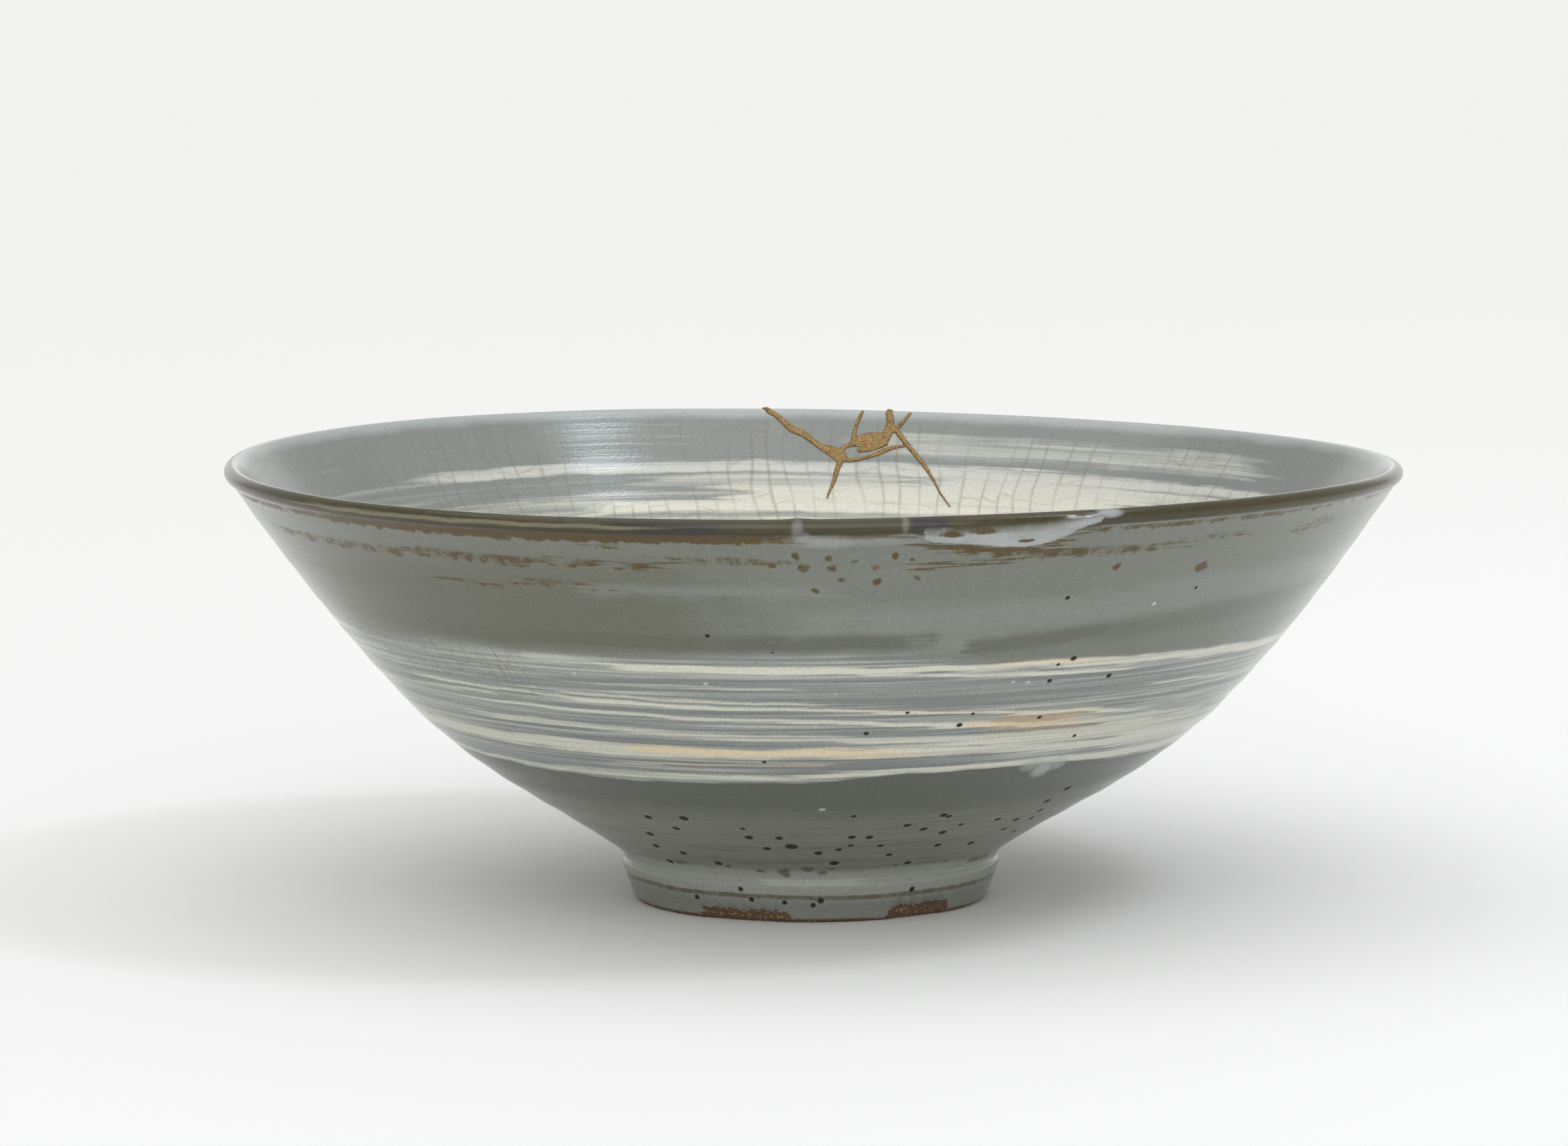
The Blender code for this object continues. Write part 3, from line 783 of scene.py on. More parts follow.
# Rust under the lip and in broken rows below it
RUST_STROKES = (
    (-150, 16, 61.1, 0.5, 1, 0.01),
    (-130, 16, 61, 0.72, 1.25, -0.005),
    (-108.5, 17.5, 61.05, 0.72, 1.45, 0.002),
    (-85.8, 4.6, 61.3, 0.42, 1.45),
    (-74.6, 6.2, 59.05, 0.5, 1.5, -0.15),
    (-65.6, 4.6, 60.3, 0.5, 1.5, 0.52),
    (-46, 20, 61.1, 0.45, 0.85, 0.01),
    (-151, 7, 57.3, 0.7, 0.72),
    (-139.5, 7.5, 57.1, 0.75, 0.8),
    (-129.5, 4, 57.4, 0.85, 0.85, -0.06),
    (-123, 4.5, 57.1, 0.8, 0.85, -0.08),
    (-115.8, 3.5, 57.3, 0.8, 0.75, -0.08),
    (-126.7, 2.6, 53.5, 0.55, 0.8),
    (-115.5, 5, 54, 0.7, 0.74, -0.04),
    (-109.8, 1.4, 59.7, 0.45, 0.8),
    (-108.3, 2.2, 57.1, 0.75, 1, -0.1),
    (-99.5, 6, 57.9, 0.75, 0.66),
    (-77, 4, 56.8, 0.5, 0.95, 0.12),
    (-69.5, 8.5, 58.1, 0.55, 0.85, -0.03),
    (-66, 6, 57.6, 0.4, 0.8, 0.06),
    (-57.5, 6.5, 57.8, 0.8, 0.72, 0.02),
    (-50, 5, 58.7, 0.45, 0.66),
    (-33, 3, 58.6, 1.2, 0.66),
    (-20, 24, 61.3, 0.35, 0.66),
    (30, 40, 61, 0.5, 0.9),
    (100, 36, 60.9, 0.45, 0.8),
    (160, 34, 61, 0.6, 0.95),
    (60, 16, 57.2, 0.7, 0.72),
    (140, 18, 57, 0.7, 0.74, 0.02),
)

# Round rust spots, and the pinholes of the outer face: turn, rise and radius
RUST_SPOTS = (
    (-91.2, 56.8, 0.95), (-88.9, 58.2, 0.6), (-92, 58.5, 0.7), (-88.6, 56.8, 0.7), (-90.2, 53.6, 0.6),
    (-84.5, 56.8, 0.55), (-81, 57.8, 0.5), (-80.4, 55, 0.5), (-84.2, 54.7, 0.5), (-48.4, 54.1, 1.05),
    (-59.5, 55.2, 0.6), (-87.6, 55, 0.5), (-94.2, 57.2, 0.55), (-82.6, 58.4, 0.5), (-86.4, 57.8, 0.45),
)
PINHOLES = (
    (-101.6, 46.9, 0.29), (-63.9, 51.1, 0.3), (-60.1, 41.9, 0.38), (-61.8, 41.1, 0.23), (-62, 38.7, 0.29),
    (-53.6, 38.7, 0.34), (-60.9, 33.1, 0.27), (-53.1, 29.6, 0.25), (-71.9, 32.7, 0.34), (-70.6, 34.3, 0.22),
    (-79.1, 34.9, 0.22), (-83.9, 31.9, 0.31), (-97.4, 27.6, 0.28), (-123.5, 16.8, 0.48), (-115.4, 17.1, 0.55),
    (-119.4, 15, 0.46), (-128.8, 13.4, 0.46), (-125.1, 10.2, 0.44), (-104.4, 15.7, 0.34), (-104, 14, 0.5),
    (-97.5, 14, 0.44), (-95, 12.5, 0.75), (-100.8, 12, 0.46), (-83.3, 18, 0.34), (-71.9, 16, 0.46),
    (-67.4, 15, 0.5), (-66, 17.5, 0.46), (-64.6, 17.2, 0.38), (-59.2, 15.3, 0.36), (-61.7, 14.1, 0.48),
    (-50.6, 15.6, 0.44), (-43.6, 14.9, 0.46), (-42.6, 13.3, 0.4), (-34.7, 12.2, 0.38), (-82.1, 14.1, 0.46),
    (-78.3, 14, 0.46), (-81.5, 12.6, 0.36), (-83.9, 11.8, 0.4), (-74.4, 12.3, 0.38), (-58.6, 11.6, 0.44),
    (-47.5, 11.2, 0.44), (-88.6, 11.2, 0.48), (-84, 9.3, 0.55), (-62.4, 8.7, 0.44), (-42.4, 20.1, 0.46),
    (-43, 18, 0.44), (-40, 16.2, 0.42), (-37.6, 14.6, 0.4), (-116.4, 8.8, 0.5), (-132.3, 11, 0.45),
    (-134.4, 8.2, 0.45), (-70.3, 10.5, 0.4), (-111.6, 4.9, 0.3), (-127.7, 3.1, 0.34), (-108.5, 3.4, 0.32),
    (-98.2, 3.1, 0.3), (-58.1, 4.4, 0.36), (-87.2, 3.4, 0.38), (-89.5, 2.7, 0.32), (-47.5, 51, 0.22),
    (-94.9, 44.4, 0.16),
)

# White flecks of unmelted ash
FLECKS = (
    (-89.1, 19.4, 0.55), (-52.5, 49.2, 0.4), (-62.6, 41.3, 0.35), (-66.8, 38.9, 0.3), (-64.8, 38.7, 0.35),
    (-88, 38.1, 0.22), (-90.4, 33, 0.3), (-103, 39.6, 0.35), (-119, 40.4, 0.4))

# Brown where the glaze broke over the foot's shoulder, and a line low round the foot
STAIN_STROKES = (
    (-90, 200, 3.9, 0.42, 0.88),
    (-90, 200, 7.9, 0.45, 0.4),
    (-30, 8, 7.6, 0.6, 1),
    (60, 10, 8, 0.5, 1),
    (140, 8, 8, 0.5, 1),
)

# Round brown spots along the shoulder: turn, rise and radius
STAIN_SPOTS = (
    (-98.2, 7.8, 0.85), (-97.4, 7.3, 0.6), (-91.6, 8.3, 0.8), (-90.6, 8.2, 0.6), (-84.6, 8.4, 0.6),
    (-105, 7.7, 0.6), (-131, 8.3, 0.7), (-128.8, 8.4, 0.6), (-114, 8.3, 0.6), (-66, 8.4, 0.5),
    (-48, 8.2, 0.5), (-86.8, 7.6, 0.6),
)

# Purplish bare patches on the lip. The first stroke is a thin dark line all round at the foot of the lip's
# roll, which is painted shade in the step under it
PLUM_PATCHES_AND_STEP_SHADE = (
    (-90, 200, 61.75, 0.12, 0.7),
    (-104, 6, 62.5, 0.9, 0.7),
    (-79.8, 1.8, 62.9, 0.8, 1.2),
    (-62.6, 1.4, 62.9, 0.6, 1),
    (40, 9, 62.6, 1, 0.8),
    (150, 7, 62.6, 1, 0.8),
)

# A painted highlight: a pale line along the left of the lip and at the back, standing in for the glint of
# light along the roll
LIP_HIGHLIGHT_STROKES = (
    (-126, 22, 62.55, 0.28, 0.75),
    (60, 30, 62.55, 0.28, 0.6),
)

# The narrow drip beside the run and the milky glaze below it, as soft oval patches: middle turn,
# degrees either way, rise, millimetres either way and strength
DRIP_PATCHES = (
    (-91.7, 0.6, 62.3, 1.6, 0.26),
    (-91.2, 0.9, 61.1, 1, 0.38),
    (-89, 3.4, 60.6, 1, 0.45),
    (-85, 6, 60.6, 0.8, 0.26),
    (-82, 0.36, 62.8, 1.4, 0.22),
    (-62.4, 1.5, 63.2, 0.7, 0.75),
)

# Broad stretches of the outer glaze that crazed
CRACKLED_STROKES = (
    (-138, 15, 40.5, 4.2, 0.6),
    (110, 30, 44, 6, 0.6),
)

# Brown ovals in the run, where the body shows through it
RUN_OVALS = (
    (-77.7, 1.25, 61.45, 0.55, 1.3),
    (-74.6, 1.35, 61.75, 0.45, 0.95),
    (-70.2, 0.8, 60.05, 0.34, 1.3),
)


def outside_glaze():
    """Wood-ash glaze over dark stoneware and brushed slip. Fired in reduction it gives the eye a grey-green,
    half-glossy skin with a fine grain, milky where slip lies under it and brown where iron came through."""
    material, tree, shader = new_material("grey_ash_glaze_over_brushed_slip")
    turn, rise, down, place = where_on_bowl(tree)
    lines = round_the_bowl(tree, place, down, 1.3, 1.5)
    streaks = add(tree, NOISE, {"Vector": lines, "Scale": 1.0, "Detail": 4.0, "Roughness": 0.55})
    hairs = round_the_bowl(tree, place, down, 3.2, 4.2)
    bristles = add(tree, NOISE, {"Vector": hairs, "Scale": 1.0, "Detail": 2.0, "Roughness": 0.6})
    drift = add(tree, NOISE, {"Vector": place, "Scale": DRIFT_OUTSIDE, "Detail": 2.0})
    blotch = add(tree, NOISE, {"Vector": place, "Scale": BLOTCH, "Detail": 5.0, "Roughness": 0.62})
    cloud = add(tree, NOISE, {"Vector": place, "Scale": CLOUD_OUTSIDE, "Detail": 3.0, "Roughness": 0.55})
    grain = add(tree, NOISE, {"Vector": place, "Scale": GRAIN, "Detail": 2.0, "Roughness": 0.6})
    level = shaken(tree, shaken(tree, rise, drift, 1.0), bristles, 0.5)

    # Places, turns and rises that wander, so that spots aren't round and the strokes' edges fray
    uneven = add(tree, NOISE, {"Vector": place, "Scale": 0.9, "Detail": 1.0}, output=1)
    uneven = add(tree, VECTOR, {0: uneven, 1: (0.5, 0.5, 0.5)}, operation="SUBTRACT")
    uneven = add(tree, VECTOR, {0: uneven, 1: (1.0, 1.0, 1.0), 2: place}, operation="MULTIPLY_ADD")
    ragged_turn = shaken(tree, turn, streaks, 26.0)
    soft_turn = shaken(tree, shaken(tree, turn, drift, 20.0), streaks, 10.0)
    soft_rise = shaken(tree, shaken(tree, rise, drift, 1.6), streaks, 1.2)

    # Grey-green glaze, olive where it is thin and bluer where it is thick
    colour = painted(tree, linear("#6C6F65"), cloud, "#787B73")
    colour = painted(tree, colour, strokes_cover(tree, soft_turn, soft_rise, OLIVE_STROKES), "#5F6052")
    colour = painted(tree, colour, strokes_cover(tree, soft_turn, soft_rise, PALE_STROKES), "#7E837D")
    colour = painted(tree, colour, strokes_cover(tree, soft_turn, soft_rise, LENS_STROKES), "#5E6058")

    # The thin veil of slip that the brush left, with the hairs' marks in it
    under_top = add(tree, MATH, {0: edge_round(tree, turn, VEIL_TOP), 1: level}, operation="SUBTRACT")
    over_foot = add(tree, MATH, {0: level, 1: edge_round(tree, turn, VEIL_FOOT)}, operation="SUBTRACT")
    bottom = ramp(tree, over_foot, -0.1, 0.3)
    veil = add(tree, MATH, {0: ramp(tree, under_top, -0.2, 1.9), 1: bottom}, operation="MULTIPLY")
    hair_marks = ramp(tree, shaken(tree, streaks, bristles, 0.5), 0.34, 0.66)
    veil_colour = painted(tree, linear("#787D7B"), hair_marks, "#959995")
    colour = painted(tree, colour, veil, veil_colour)
    low_colour = painted(tree, linear("#5A5C55"), ramp(tree, soft_rise, 20.5, 15.0), "#797B72")
    dark = painted(tree, low_colour, ramp(tree, streaks, 0.45, 0.75, 0.0, 0.5), "#55574F")
    colour = painted(tree, colour, ramp(tree, bottom, 1.0, 0.0), dark)

    # Slip streaks
    strokes = strokes_cover(tree, ragged_turn, level, SLIP_STROKES)
    quiet = strokes_cover(tree, ragged_turn, level, QUIET_STROKES)
    loud = add(tree, MATH, {0: 1.0, 1: quiet}, operation="SUBTRACT")
    film = add(tree, MATH, {0: veil, 1: loud}, operation="MULTIPLY")
    film = add(tree, MATH, {0: film, 1: 0.42}, operation="MULTIPLY")
    cover = add(tree, MATH, {0: strokes, 1: film}, operation="MAXIMUM")
    cover = shaken(tree, shaken(tree, cover, streaks, 1.1), bristles, 0.5)
    touched = ramp(tree, add(tree, MATH, {0: strokes, 1: veil}, operation="MAXIMUM"), 0.1, 0.4)
    slip = add(tree, MATH, {0: ramp(tree, cover, 0.25, 1.08), 1: touched}, operation="MULTIPLY")
    peach = strokes_cover(tree, ragged_turn, level, PEACH_STROKES)
    ochre = strokes_cover(tree, ragged_turn, level, OCHRE_STROKES)
    ochre = ramp(tree, shaken(tree, ochre, blotch, 1.0), 0.35, 0.9)
    slip_colour = painted(tree, linear("#C2C3B8"), streaks, "#DAD8C8")
    slip_colour = painted(tree, slip_colour, peach, "#DDCBA8")
    colour = painted(tree, colour, slip, slip_colour)
    colour = painted(tree, colour, ochre, "#B09471", 0.7)
    blob = patches_cover(tree, turn, rise, SLIP_DRIP)
    colour = painted(tree, colour, blob, "#A3A7A1")

    # The foot ring under milky pooled glaze
    foot = ramp(tree, level, 8.4, 7.5)
    foot_colour = painted(tree, linear("#90938B"), ramp(tree, level, 4.6, 2.6), "#787B73")
    colour = painted(tree, colour, foot, foot_colour)
    stain = strokes_cover(tree, turn, level, STAIN_STROKES)
    stain = ramp(tree, shaken(tree, stain, blotch, 0.9), 0.35, 1.0)
    stain_spot = ramp(tree, nearest_spot(tree, uneven, STAIN_SPOTS), 1.5, 0.3)
    stain = add(tree, MATH, {0: stain, 1: stain_spot}, operation="MAXIMUM")
    colour = painted(tree, colour, stain, "#4C3F22", 0.75)

    # Rust that bled through the glaze
    rust = strokes_cover(tree, ragged_turn, shaken(tree, rise, blotch, 0.9), RUST_STROKES)
    spot = ramp(tree, nearest_spot(tree, uneven, RUST_SPOTS), 1.6, 0.5)
    rust = add(tree, MATH, {0: rust, 1: spot}, operation="MAXIMUM")
    rust = ramp(tree, shaken(tree, shaken(tree, rust, blotch, 2.1), grain, 0.9), 0.40, 1.05)
    rust_colour = painted(tree, linear("#382A00"), grain, "#5A4506")
    colour = painted(tree, colour, rust, rust_colour, 0.95)

    # The iron-brown lip
    lip_colour = painted(tree, linear("#2D280F"), blotch, "#474024")
    # Purplish patches, and painted shade along the step under the lip
    lip_colour = painted(tree, lip_colour, strokes_cover(tree, turn, level, PLUM_PATCHES_AND_STEP_SHADE), "#252223")
    # A pale line painted along the lip as a highlight
    painted_highlight_line = strokes_cover(tree, ragged_turn, level, LIP_HIGHLIGHT_STROKES)
    lip_colour = painted(tree, lip_colour, painted_highlight_line, "#7C7862")
    colour = painted(tree, colour, ramp(tree, shaken(tree, rise, blotch, 0.3), 61.45, 61.7), lip_colour)

    # The pale glaze that ran from the lip
    run_rise, run_turn = shaken(tree, rise, blotch, 0.7), shaken(tree, turn, blotch, 2.2)
    over_edge = add(tree, MATH, {0: run_rise, 1: edge_round(tree, run_turn, RUN_FOOT)}, operation="SUBTRACT")
    under_edge = add(tree, MATH, {0: edge_round(tree, run_turn, RUN_TOP), 1: run_rise}, operation="SUBTRACT")
    run = add(tree, MATH, {0: ramp(tree, over_edge, -0.05, 0.25), 1: ramp(tree, under_edge, -0.35, 0.95)},
              operation="MULTIPLY")
    drip = patches_cover(tree, turn, rise, DRIP_PATCHES)
    run = add(tree, MATH, {0: run, 1: ramp(tree, drift, 0.38, 0.62, 0.70, 0.97)}, operation="MULTIPLY")
    run = add(tree, MATH, {0: run, 1: drip}, operation="MAXIMUM")
    ovals = patches_cover(tree, run_turn, run_rise, RUN_OVALS)
    colour = painted(tree, colour, run, "#A8ACAB")
    colour = painted(tree, colour, ovals, rust_colour)

    # Pinholes down to the dark body with milky rings, and flecks of ash
    colour = painted(tree, colour, ramp(tree, nearest_spot(tree, place, FLECKS), 1.2, 0.4), "#B5B8B0")
    hole = nearest_spot(tree, place, PINHOLES)
    colour = painted(tree, colour, ramp(tree, hole, 2.6, 1.5, 0.0, 0.10), "#A9ADA9")
    hole = ramp(tree, hole, 1.75, 0.85)
    colour = painted(tree, colour, hole, "#2B2416")

    # A patch of fine crackle, and the grain of undissolved ash
    cracks = crackle(tree, place, down, (34.0, 0.30), 0.5, 0.045)
    cracked = strokes_cover(tree, turn, rise, CRACKLED_STROKES)
    cracks = add(tree, MATH, {0: cracks, 1: cracked}, operation="MULTIPLY")
    colour = painted(tree, colour, cracks, "#6F6244")
    colour = speckled(tree, colour, grain, 0.75, 0.50)

    # Bare coarse clay on the ring's underside and where its edge has flaked
    chips = [(middle, width * 1.25, 0.0, height * 0.80, 1.0) for middle, width, height, _ in FOOT_CHIPS]
    chips = strokes_cover(tree, shaken(tree, turn, blotch, 9.0), level, chips)
    chips = ramp(tree, shaken(tree, chips, blotch, 1.6), 0.42, 0.62)
    clay = add(tree, MATH, {0: ramp(tree, level, 0.75, 0.4), 1: chips}, operation="MAXIMUM")
    in_recess = ramp(tree, add(tree, MATH, {0: down, 1: RECESS_DOWN}, operation="SUBTRACT"), -0.2, 0.4)
    clay = add(tree, MATH, {0: clay, 1: in_recess}, operation="SUBTRACT", use_clamp=True)
    grit = ramp(tree, add(tree, VORONOI, {"Vector": place, "Scale": 1.7}), 0.15, 0.5)
    clay_colour = painted(tree, linear("#9A7D55"), grit, "#5A4430")
    colour = painted(tree, colour, clay, clay_colour)

    rough = add(tree, MATH, {0: grain, 1: 0.12, 2: 0.10}, operation="MULTIPLY_ADD")
    rough = add(tree, MATH, {0: rust, 1: 0.18, 2: rough}, operation="MULTIPLY_ADD")
    rough = add(tree, MATH, {0: clay, 1: 0.5, 2: rough}, operation="MULTIPLY_ADD")
    rough = add(tree, MATH, {0: hole, 1: 0.9, 2: rough}, operation="MULTIPLY_ADD")
    height = add(tree, MATH, {0: grain, 1: 0.018}, operation="MULTIPLY")
    height = add(tree, MATH, {0: streaks, 1: 0.05, 2: height}, operation="MULTIPLY_ADD")
    coarse = add(tree, MATH, {0: grit, 1: clay}, operation="MULTIPLY")
    height = add(tree, MATH, {0: coarse, 1: -0.2, 2: height}, operation="MULTIPLY_ADD")
    finish_glaze(tree, shader, colour, rough, height)
    return material


# Slip strokes of the inner face. Their height is the distance down it from the crest.
INNER_STROKES = (
    (58, 30, 6.8, 2.2, 0.74),
    (76, 12, 6.2, 2.4, 0.52),
    (114, 9, 6.2, 1, 0.35),
    (102, 46, 10.9, 1.05, 1),
    (56, 34, 11.3, 1, 1),
    (56, 26, 13.3, 1.2, 0.92),
    (94, 18, 13.2, 1.5, 0.72),
    (88, 36, 17.9, 1.5, 1, 0.015),
    (140, 30, 17, 1, 0.62),
    (40, 30, 16.8, 1.2, 0.85),
    (-90, 110, 11.2, 1.1, 0.75),
    (-90, 100, 17.4, 1.6, 0.9, 0.01),
    (-60, 60, 6.6, 1.2, 0.5),
    (74, 30, 15.8, 2.4, 1.1),
    (90, 300, 22.5, 2.6, 1),
    (60, 150, 29.5, 2.6, 0.85, 0.01),
    (230, 120, 33, 2.2, 0.95, 0.01),
    (20, 140, 39, 3, 0.95, -0.01),
    (190, 140, 45, 2.8, 0.85, 0.01),
    (70, 150, 52, 3.4, 0.95, 0.01),
    (250, 140, 60, 3.2, 0.9),
    (110, 150, 68, 3.4, 0.95, -0.01),
    (300, 150, 77, 3.2, 0.9, 0.01),
    (140, 170, 86, 4, 0.95),
    (0, 300, 96, 4, 0.8),
)


def inside_glaze():
    """The same glaze over a fuller coat of cream slip. Wheel-brushed slip gives the eye pale rings with
    grey gaps, the glaze a soft gloss, and its crackle, stained by tea, fine brown lines."""
    material, tree, shader = new_material("crackled_ash_glaze_over_cream_slip")
    turn, _, down, place = where_on_bowl(tree)
    lines = round_the_bowl(tree, place, down, 1.3, 1.0)
    streaks = add(tree, NOISE, {"Vector": lines, "Scale": 1.0, "Detail": 4.0, "Roughness": 0.55})
    hairs = round_the_bowl(tree, place, down, 3.0, 3.6)
    bristles = add(tree, NOISE, {"Vector": hairs, "Scale": 1.0, "Detail": 2.0, "Roughness": 0.6})
    drift = add(tree, NOISE, {"Vector": place, "Scale": DRIFT_INSIDE, "Detail": 2.0})
    cloud = add(tree, NOISE, {"Vector": place, "Scale": CLOUD_INSIDE, "Detail": 3.0, "Roughness": 0.55})
    grain = add(tree, NOISE, {"Vector": place, "Scale": GRAIN, "Detail": 2.0, "Roughness": 0.6})
    level = shaken(tree, shaken(tree, down, drift, 1.6), bristles, 0.6)
    ragged_turn = shaken(tree, turn, streaks, 30.0)

    colour = painted(tree, linear("#7B7F7A"), cloud, "#878C89")
    strokes = strokes_cover(tree, ragged_turn, level, INNER_STROKES)
    film = ramp(tree, down, 4.0, 30.0, 0.14, 0.74)
    cover = add(tree, MATH, {0: strokes, 1: film}, operation="MAXIMUM")
    cover = shaken(tree, shaken(tree, cover, streaks, 1.3), bristles, 0.5)
    slip = ramp(tree, cover, 0.25, 1.05)
    deep = ramp(tree, down, 9.0, 19.0)
    slip_colour = painted(tree, linear("#BFC0B9"), deep, "#D3D1C2")
    colour = painted(tree, colour, slip, slip_colour)
    # A pale band just inside the crest: partly the paler glaze of the inner lip, partly a painted highlight
    # where the crest's inner edge catches the light
    pale_lip_and_highlight = ramp(tree, shaken(tree, down, drift, 1.2), 2.7, 0.9, 0.0, 0.62)
    colour = painted(tree, colour, pale_lip_and_highlight, "#B6BBBB")

    # Brown crackle lines that run mostly down the wall, with cross lines between them
    cracks = wall_crackle(tree, turn, down, place)
    cracks = add(tree, MATH, {0: cracks, 1: ramp(tree, down, 34.0, 24.0)}, operation="MULTIPLY")
    net = crackle(tree, place, down, (14.0, 0.22), 0.5, 0.06)
    net = add(tree, MATH, {0: net, 1: ramp(tree, down, 24.0, 34.0)}, operation="MULTIPLY")
    cracks = add(tree, MATH, {0: cracks, 1: net}, operation="MAXIMUM")
    cracks = add(tree, MATH, {0: cracks, 1: ramp(tree, cloud, 0.3, 0.6, 0.16, 0.42)}, operation="MULTIPLY")
    cracks = add(tree, MATH, {0: cracks, 1: ramp(tree, drift, 0.38, 0.60, 0.35, 1.0)}, operation="MULTIPLY")
    cracks = add(tree, MATH, {0: cracks, 1: ramp(tree, down, 1.8, 4.0)}, operation="MULTIPLY")
    colour = painted(tree, colour, cracks, "#7A6A48")

    colour = speckled(tree, colour, grain, 0.82, 0.36)
    rough = add(tree, MATH, {0: grain, 1: 0.10, 2: 0.11}, operation="MULTIPLY_ADD")
    height = add(tree, MATH, {0: grain, 1: 0.015}, operation="MULTIPLY")
    height = add(tree, MATH, {0: streaks, 1: 0.04, 2: height}, operation="MULTIPLY_ADD")
    finish_glaze(tree, shader, colour, rough, height)
    return material


def gold_lacquer():
    """Gold powder dusted on wet lacquer and burnished: a satin gold, rubbed through to brown lacquer at its
    thin edges. The grains are a few hundredths of a millimetre, and are drawn 0.2 mm wide to show."""
    material, tree, shader = new_material("burnished_gold_lacquer")
    place = add(tree, "ShaderNodeTexCoord", output=3)
    place = add(tree, VECTOR, {0: place, 1: (1000.0, 1000.0, 1000.0)}, operation="MULTIPLY")
    stands = add(tree, ATTRIBUTE, output=2, attribute_name="stands")
    worn = add(tree, NOISE, {"Vector": place, "Scale": 0.8, "Detail": 4.0, "Roughness": 0.6})
    powder = add(tree, NOISE, {"Vector": place, "Scale": 5.0, "Detail": 3.0})
    gold = painted(tree, linear("#6E5530"), ramp(tree, powder, 0.35, 0.65), "#A98A55")
    thin = ramp(tree, shaken(tree, stands, worn, 0.5), 0.28, 0.0)
    rubbed = add(tree, MATH, {0: thin, 1: ramp(tree, worn, 0.52, 0.68, 0.0, 0.7)}, operation="MAXIMUM")
    tree.links.new(painted(tree, gold, rubbed, "#6A4524"), shader.inputs["Base Color"])
    shader.inputs["Metallic"].default_value = 0.35
    rough = add(tree, MATH, {0: powder, 1: 0.2, 2: 0.36}, operation="MULTIPLY_ADD")
    tree.links.new(rough, shader.inputs["Roughness"])
    relief = add(tree, "ShaderNodeBump", {"Strength": 0.8, "Distance": 0.12 * MM, "Height": powder})
    tree.links.new(relief, shader.inputs["Normal"])
    return material


def sweep_paper():
    """Matt white paper under and behind the bowl, which shows nothing but the bowl's soft shadow."""
    material, _, shader = new_material("matt_white_paper")
    shader.inputs["Base Color"].default_value = linear("#F0F0EE")
    shader.inputs["Roughness"].default_value = 0.8
    return material


# The pieces

def add_piece(mesh, materials):
    piece = bpy.data.objects.new(mesh.name, mesh)
    bpy.context.scene.collection.objects.link(piece)
    for material in materials:
        mesh.materials.append(material)
    return piece


bowl = add_piece(bowl_surface(), (inside_glaze(), outside_glaze()))
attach(bowl, "root")
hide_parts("bowl")

repair = add_piece(lacquer_surface(), (gold_lacquer(),))
body = repair.modifiers.new("body", "SOLIDIFY")
body.thickness = LACQUER_BODY * MM
body.offset = -1.0
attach(repair, "root")
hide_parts("gold_lacquer_repair")


# The stage, lights and camera

# The paper's sizes in metres
FLOOR_WIDTH = 16.0
FLOOR_BACK = 12.0
FLOOR_FRONT = -3.0
SWEEP_BEND = 2.0
SWEEP_HEIGHT = 5.0


def sweep():
    """A pale floor that curves up behind."""
    angles = np.linspace(0, math.pi / 2, 17)
    bend = [(FLOOR_BACK + SWEEP_BEND * math.sin(a), SWEEP_BEND * (1.0 - math.cos(a))) for a in angles]
    outline = [(FLOOR_FRONT, 0.0)] + bend + [(FLOOR_BACK + SWEEP_BEND, SWEEP_HEIGHT)]
    vertices = [(x, y, z) for y, z in outline for x in (-FLOOR_WIDTH / 2, FLOOR_WIDTH / 2)]
    faces = [(2 * i, 2 * i + 1, 2 * i + 3, 2 * i + 2) for i in range(len(outline) - 1)]
    mesh = bpy.data.meshes.new("paper_sweep")
    mesh.from_pydata(vertices, [], faces)
    mesh.shade_smooth()
    return mesh


add_piece(sweep(), (sweep_paper(),))


def add_lamp(name, light):
    lamp = bpy.data.objects.new(name, light)
    bpy.context.scene.collection.objects.link(lamp)
    return lamp


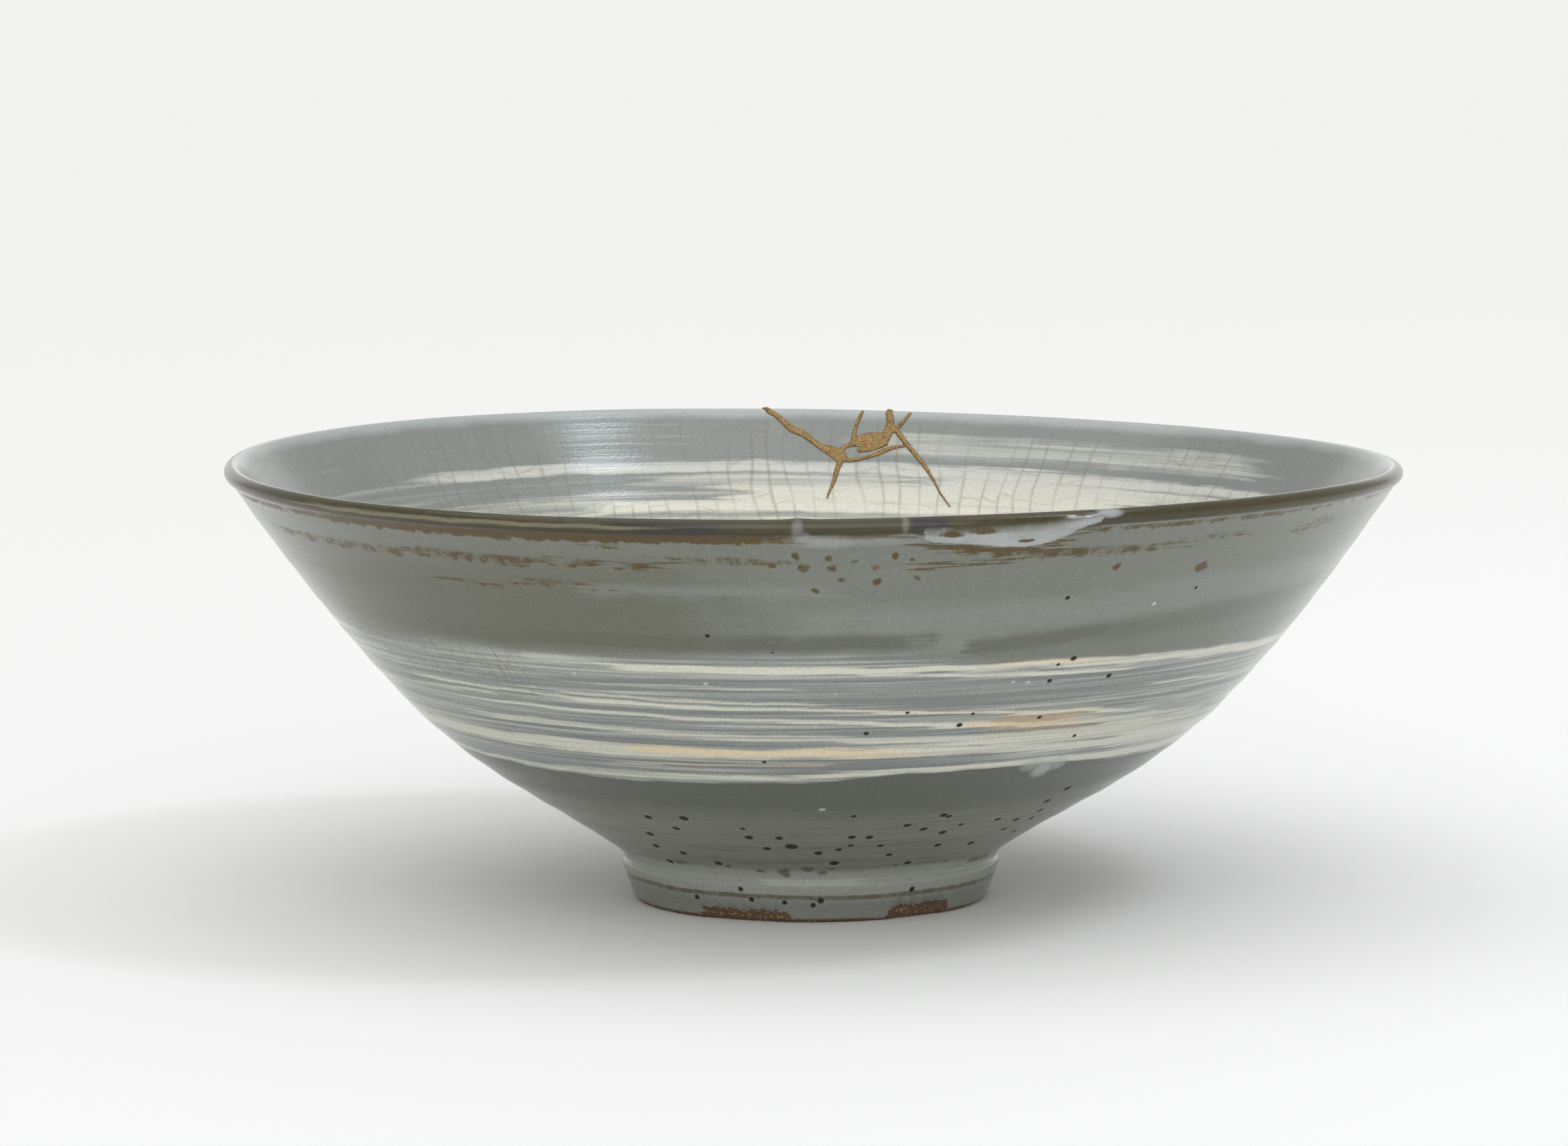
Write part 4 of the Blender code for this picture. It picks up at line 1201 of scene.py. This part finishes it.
def softbox(name, place, aim, size, power, colour):
    light = bpy.data.lights.new(name, "AREA")
    light.shape = "RECTANGLE"
    light.size, light.size_y = size
    light.energy = power
    light.color = linear(colour)[:3]
    lamp = add_lamp(name, light)
    lamp.location = place
    lamp.rotation_euler = (Vector(aim) - Vector(place)).to_track_quat("-Z", "Y").to_euler()


def wide_light(name, strength, spread, lean, sideways=0.0):
    """Soft light from a large white face: its strength, how wide it is seen and where from, in degrees."""
    light = bpy.data.lights.new(name, "SUN")
    light.energy = strength
    light.angle = math.radians(spread)
    add_lamp(name, light).rotation_euler = (math.radians(lean), math.radians(sideways), 0.0)


# A small cool window high on the right throws the soft shadow to the left and the glint on the inner
# wall. The ceiling and the white wall in front fill the rest.
softbox("window", (0.64, -0.25, 0.98), (-0.022, 0.07, 0.05), (0.22, 0.18), 2.1, "#E8F0FF")
wide_light("diffused_ceiling", 0.96, 85.0, 8.0, -5.0)
wide_light("white_wall_in_front", 1.15, 60.0, 70.0)

world = bpy.data.worlds.new("white_studio")
bpy.context.scene.world = world
world.use_nodes = True
background = world.node_tree.nodes["Background"]
background.inputs["Color"].default_value = linear("#FFFFFF")
background.inputs["Strength"].default_value = 0.575
bpy.context.scene.view_settings.view_transform = "Standard"

# The camera stands about a metre away, a little above the rim, with a long lens
CAMERA_PLACE = Vector((-4.3, -979.0, 156.3)) * MM
CAMERA_PITCH = math.radians(6.36)
CAMERA_ROLL = math.radians(0.24)
FOCAL_PIXELS, IMAGE_WIDTH = 9796, 2260

camera_data = bpy.data.cameras.new("camera")
camera_data.sensor_width = 36.0
camera_data.lens = camera_data.sensor_width * FOCAL_PIXELS / IMAGE_WIDTH
camera_data.clip_start, camera_data.clip_end = 0.05, 50.0
camera = bpy.data.objects.new("camera", camera_data)
bpy.context.scene.collection.objects.link(camera)
turned = Matrix.Rotation(math.pi / 2 - CAMERA_PITCH, 4, "X") @ Matrix.Rotation(-CAMERA_ROLL, 4, "Z")
camera.matrix_world = Matrix.Translation(CAMERA_PLACE) @ turned
bpy.context.scene.camera = camera
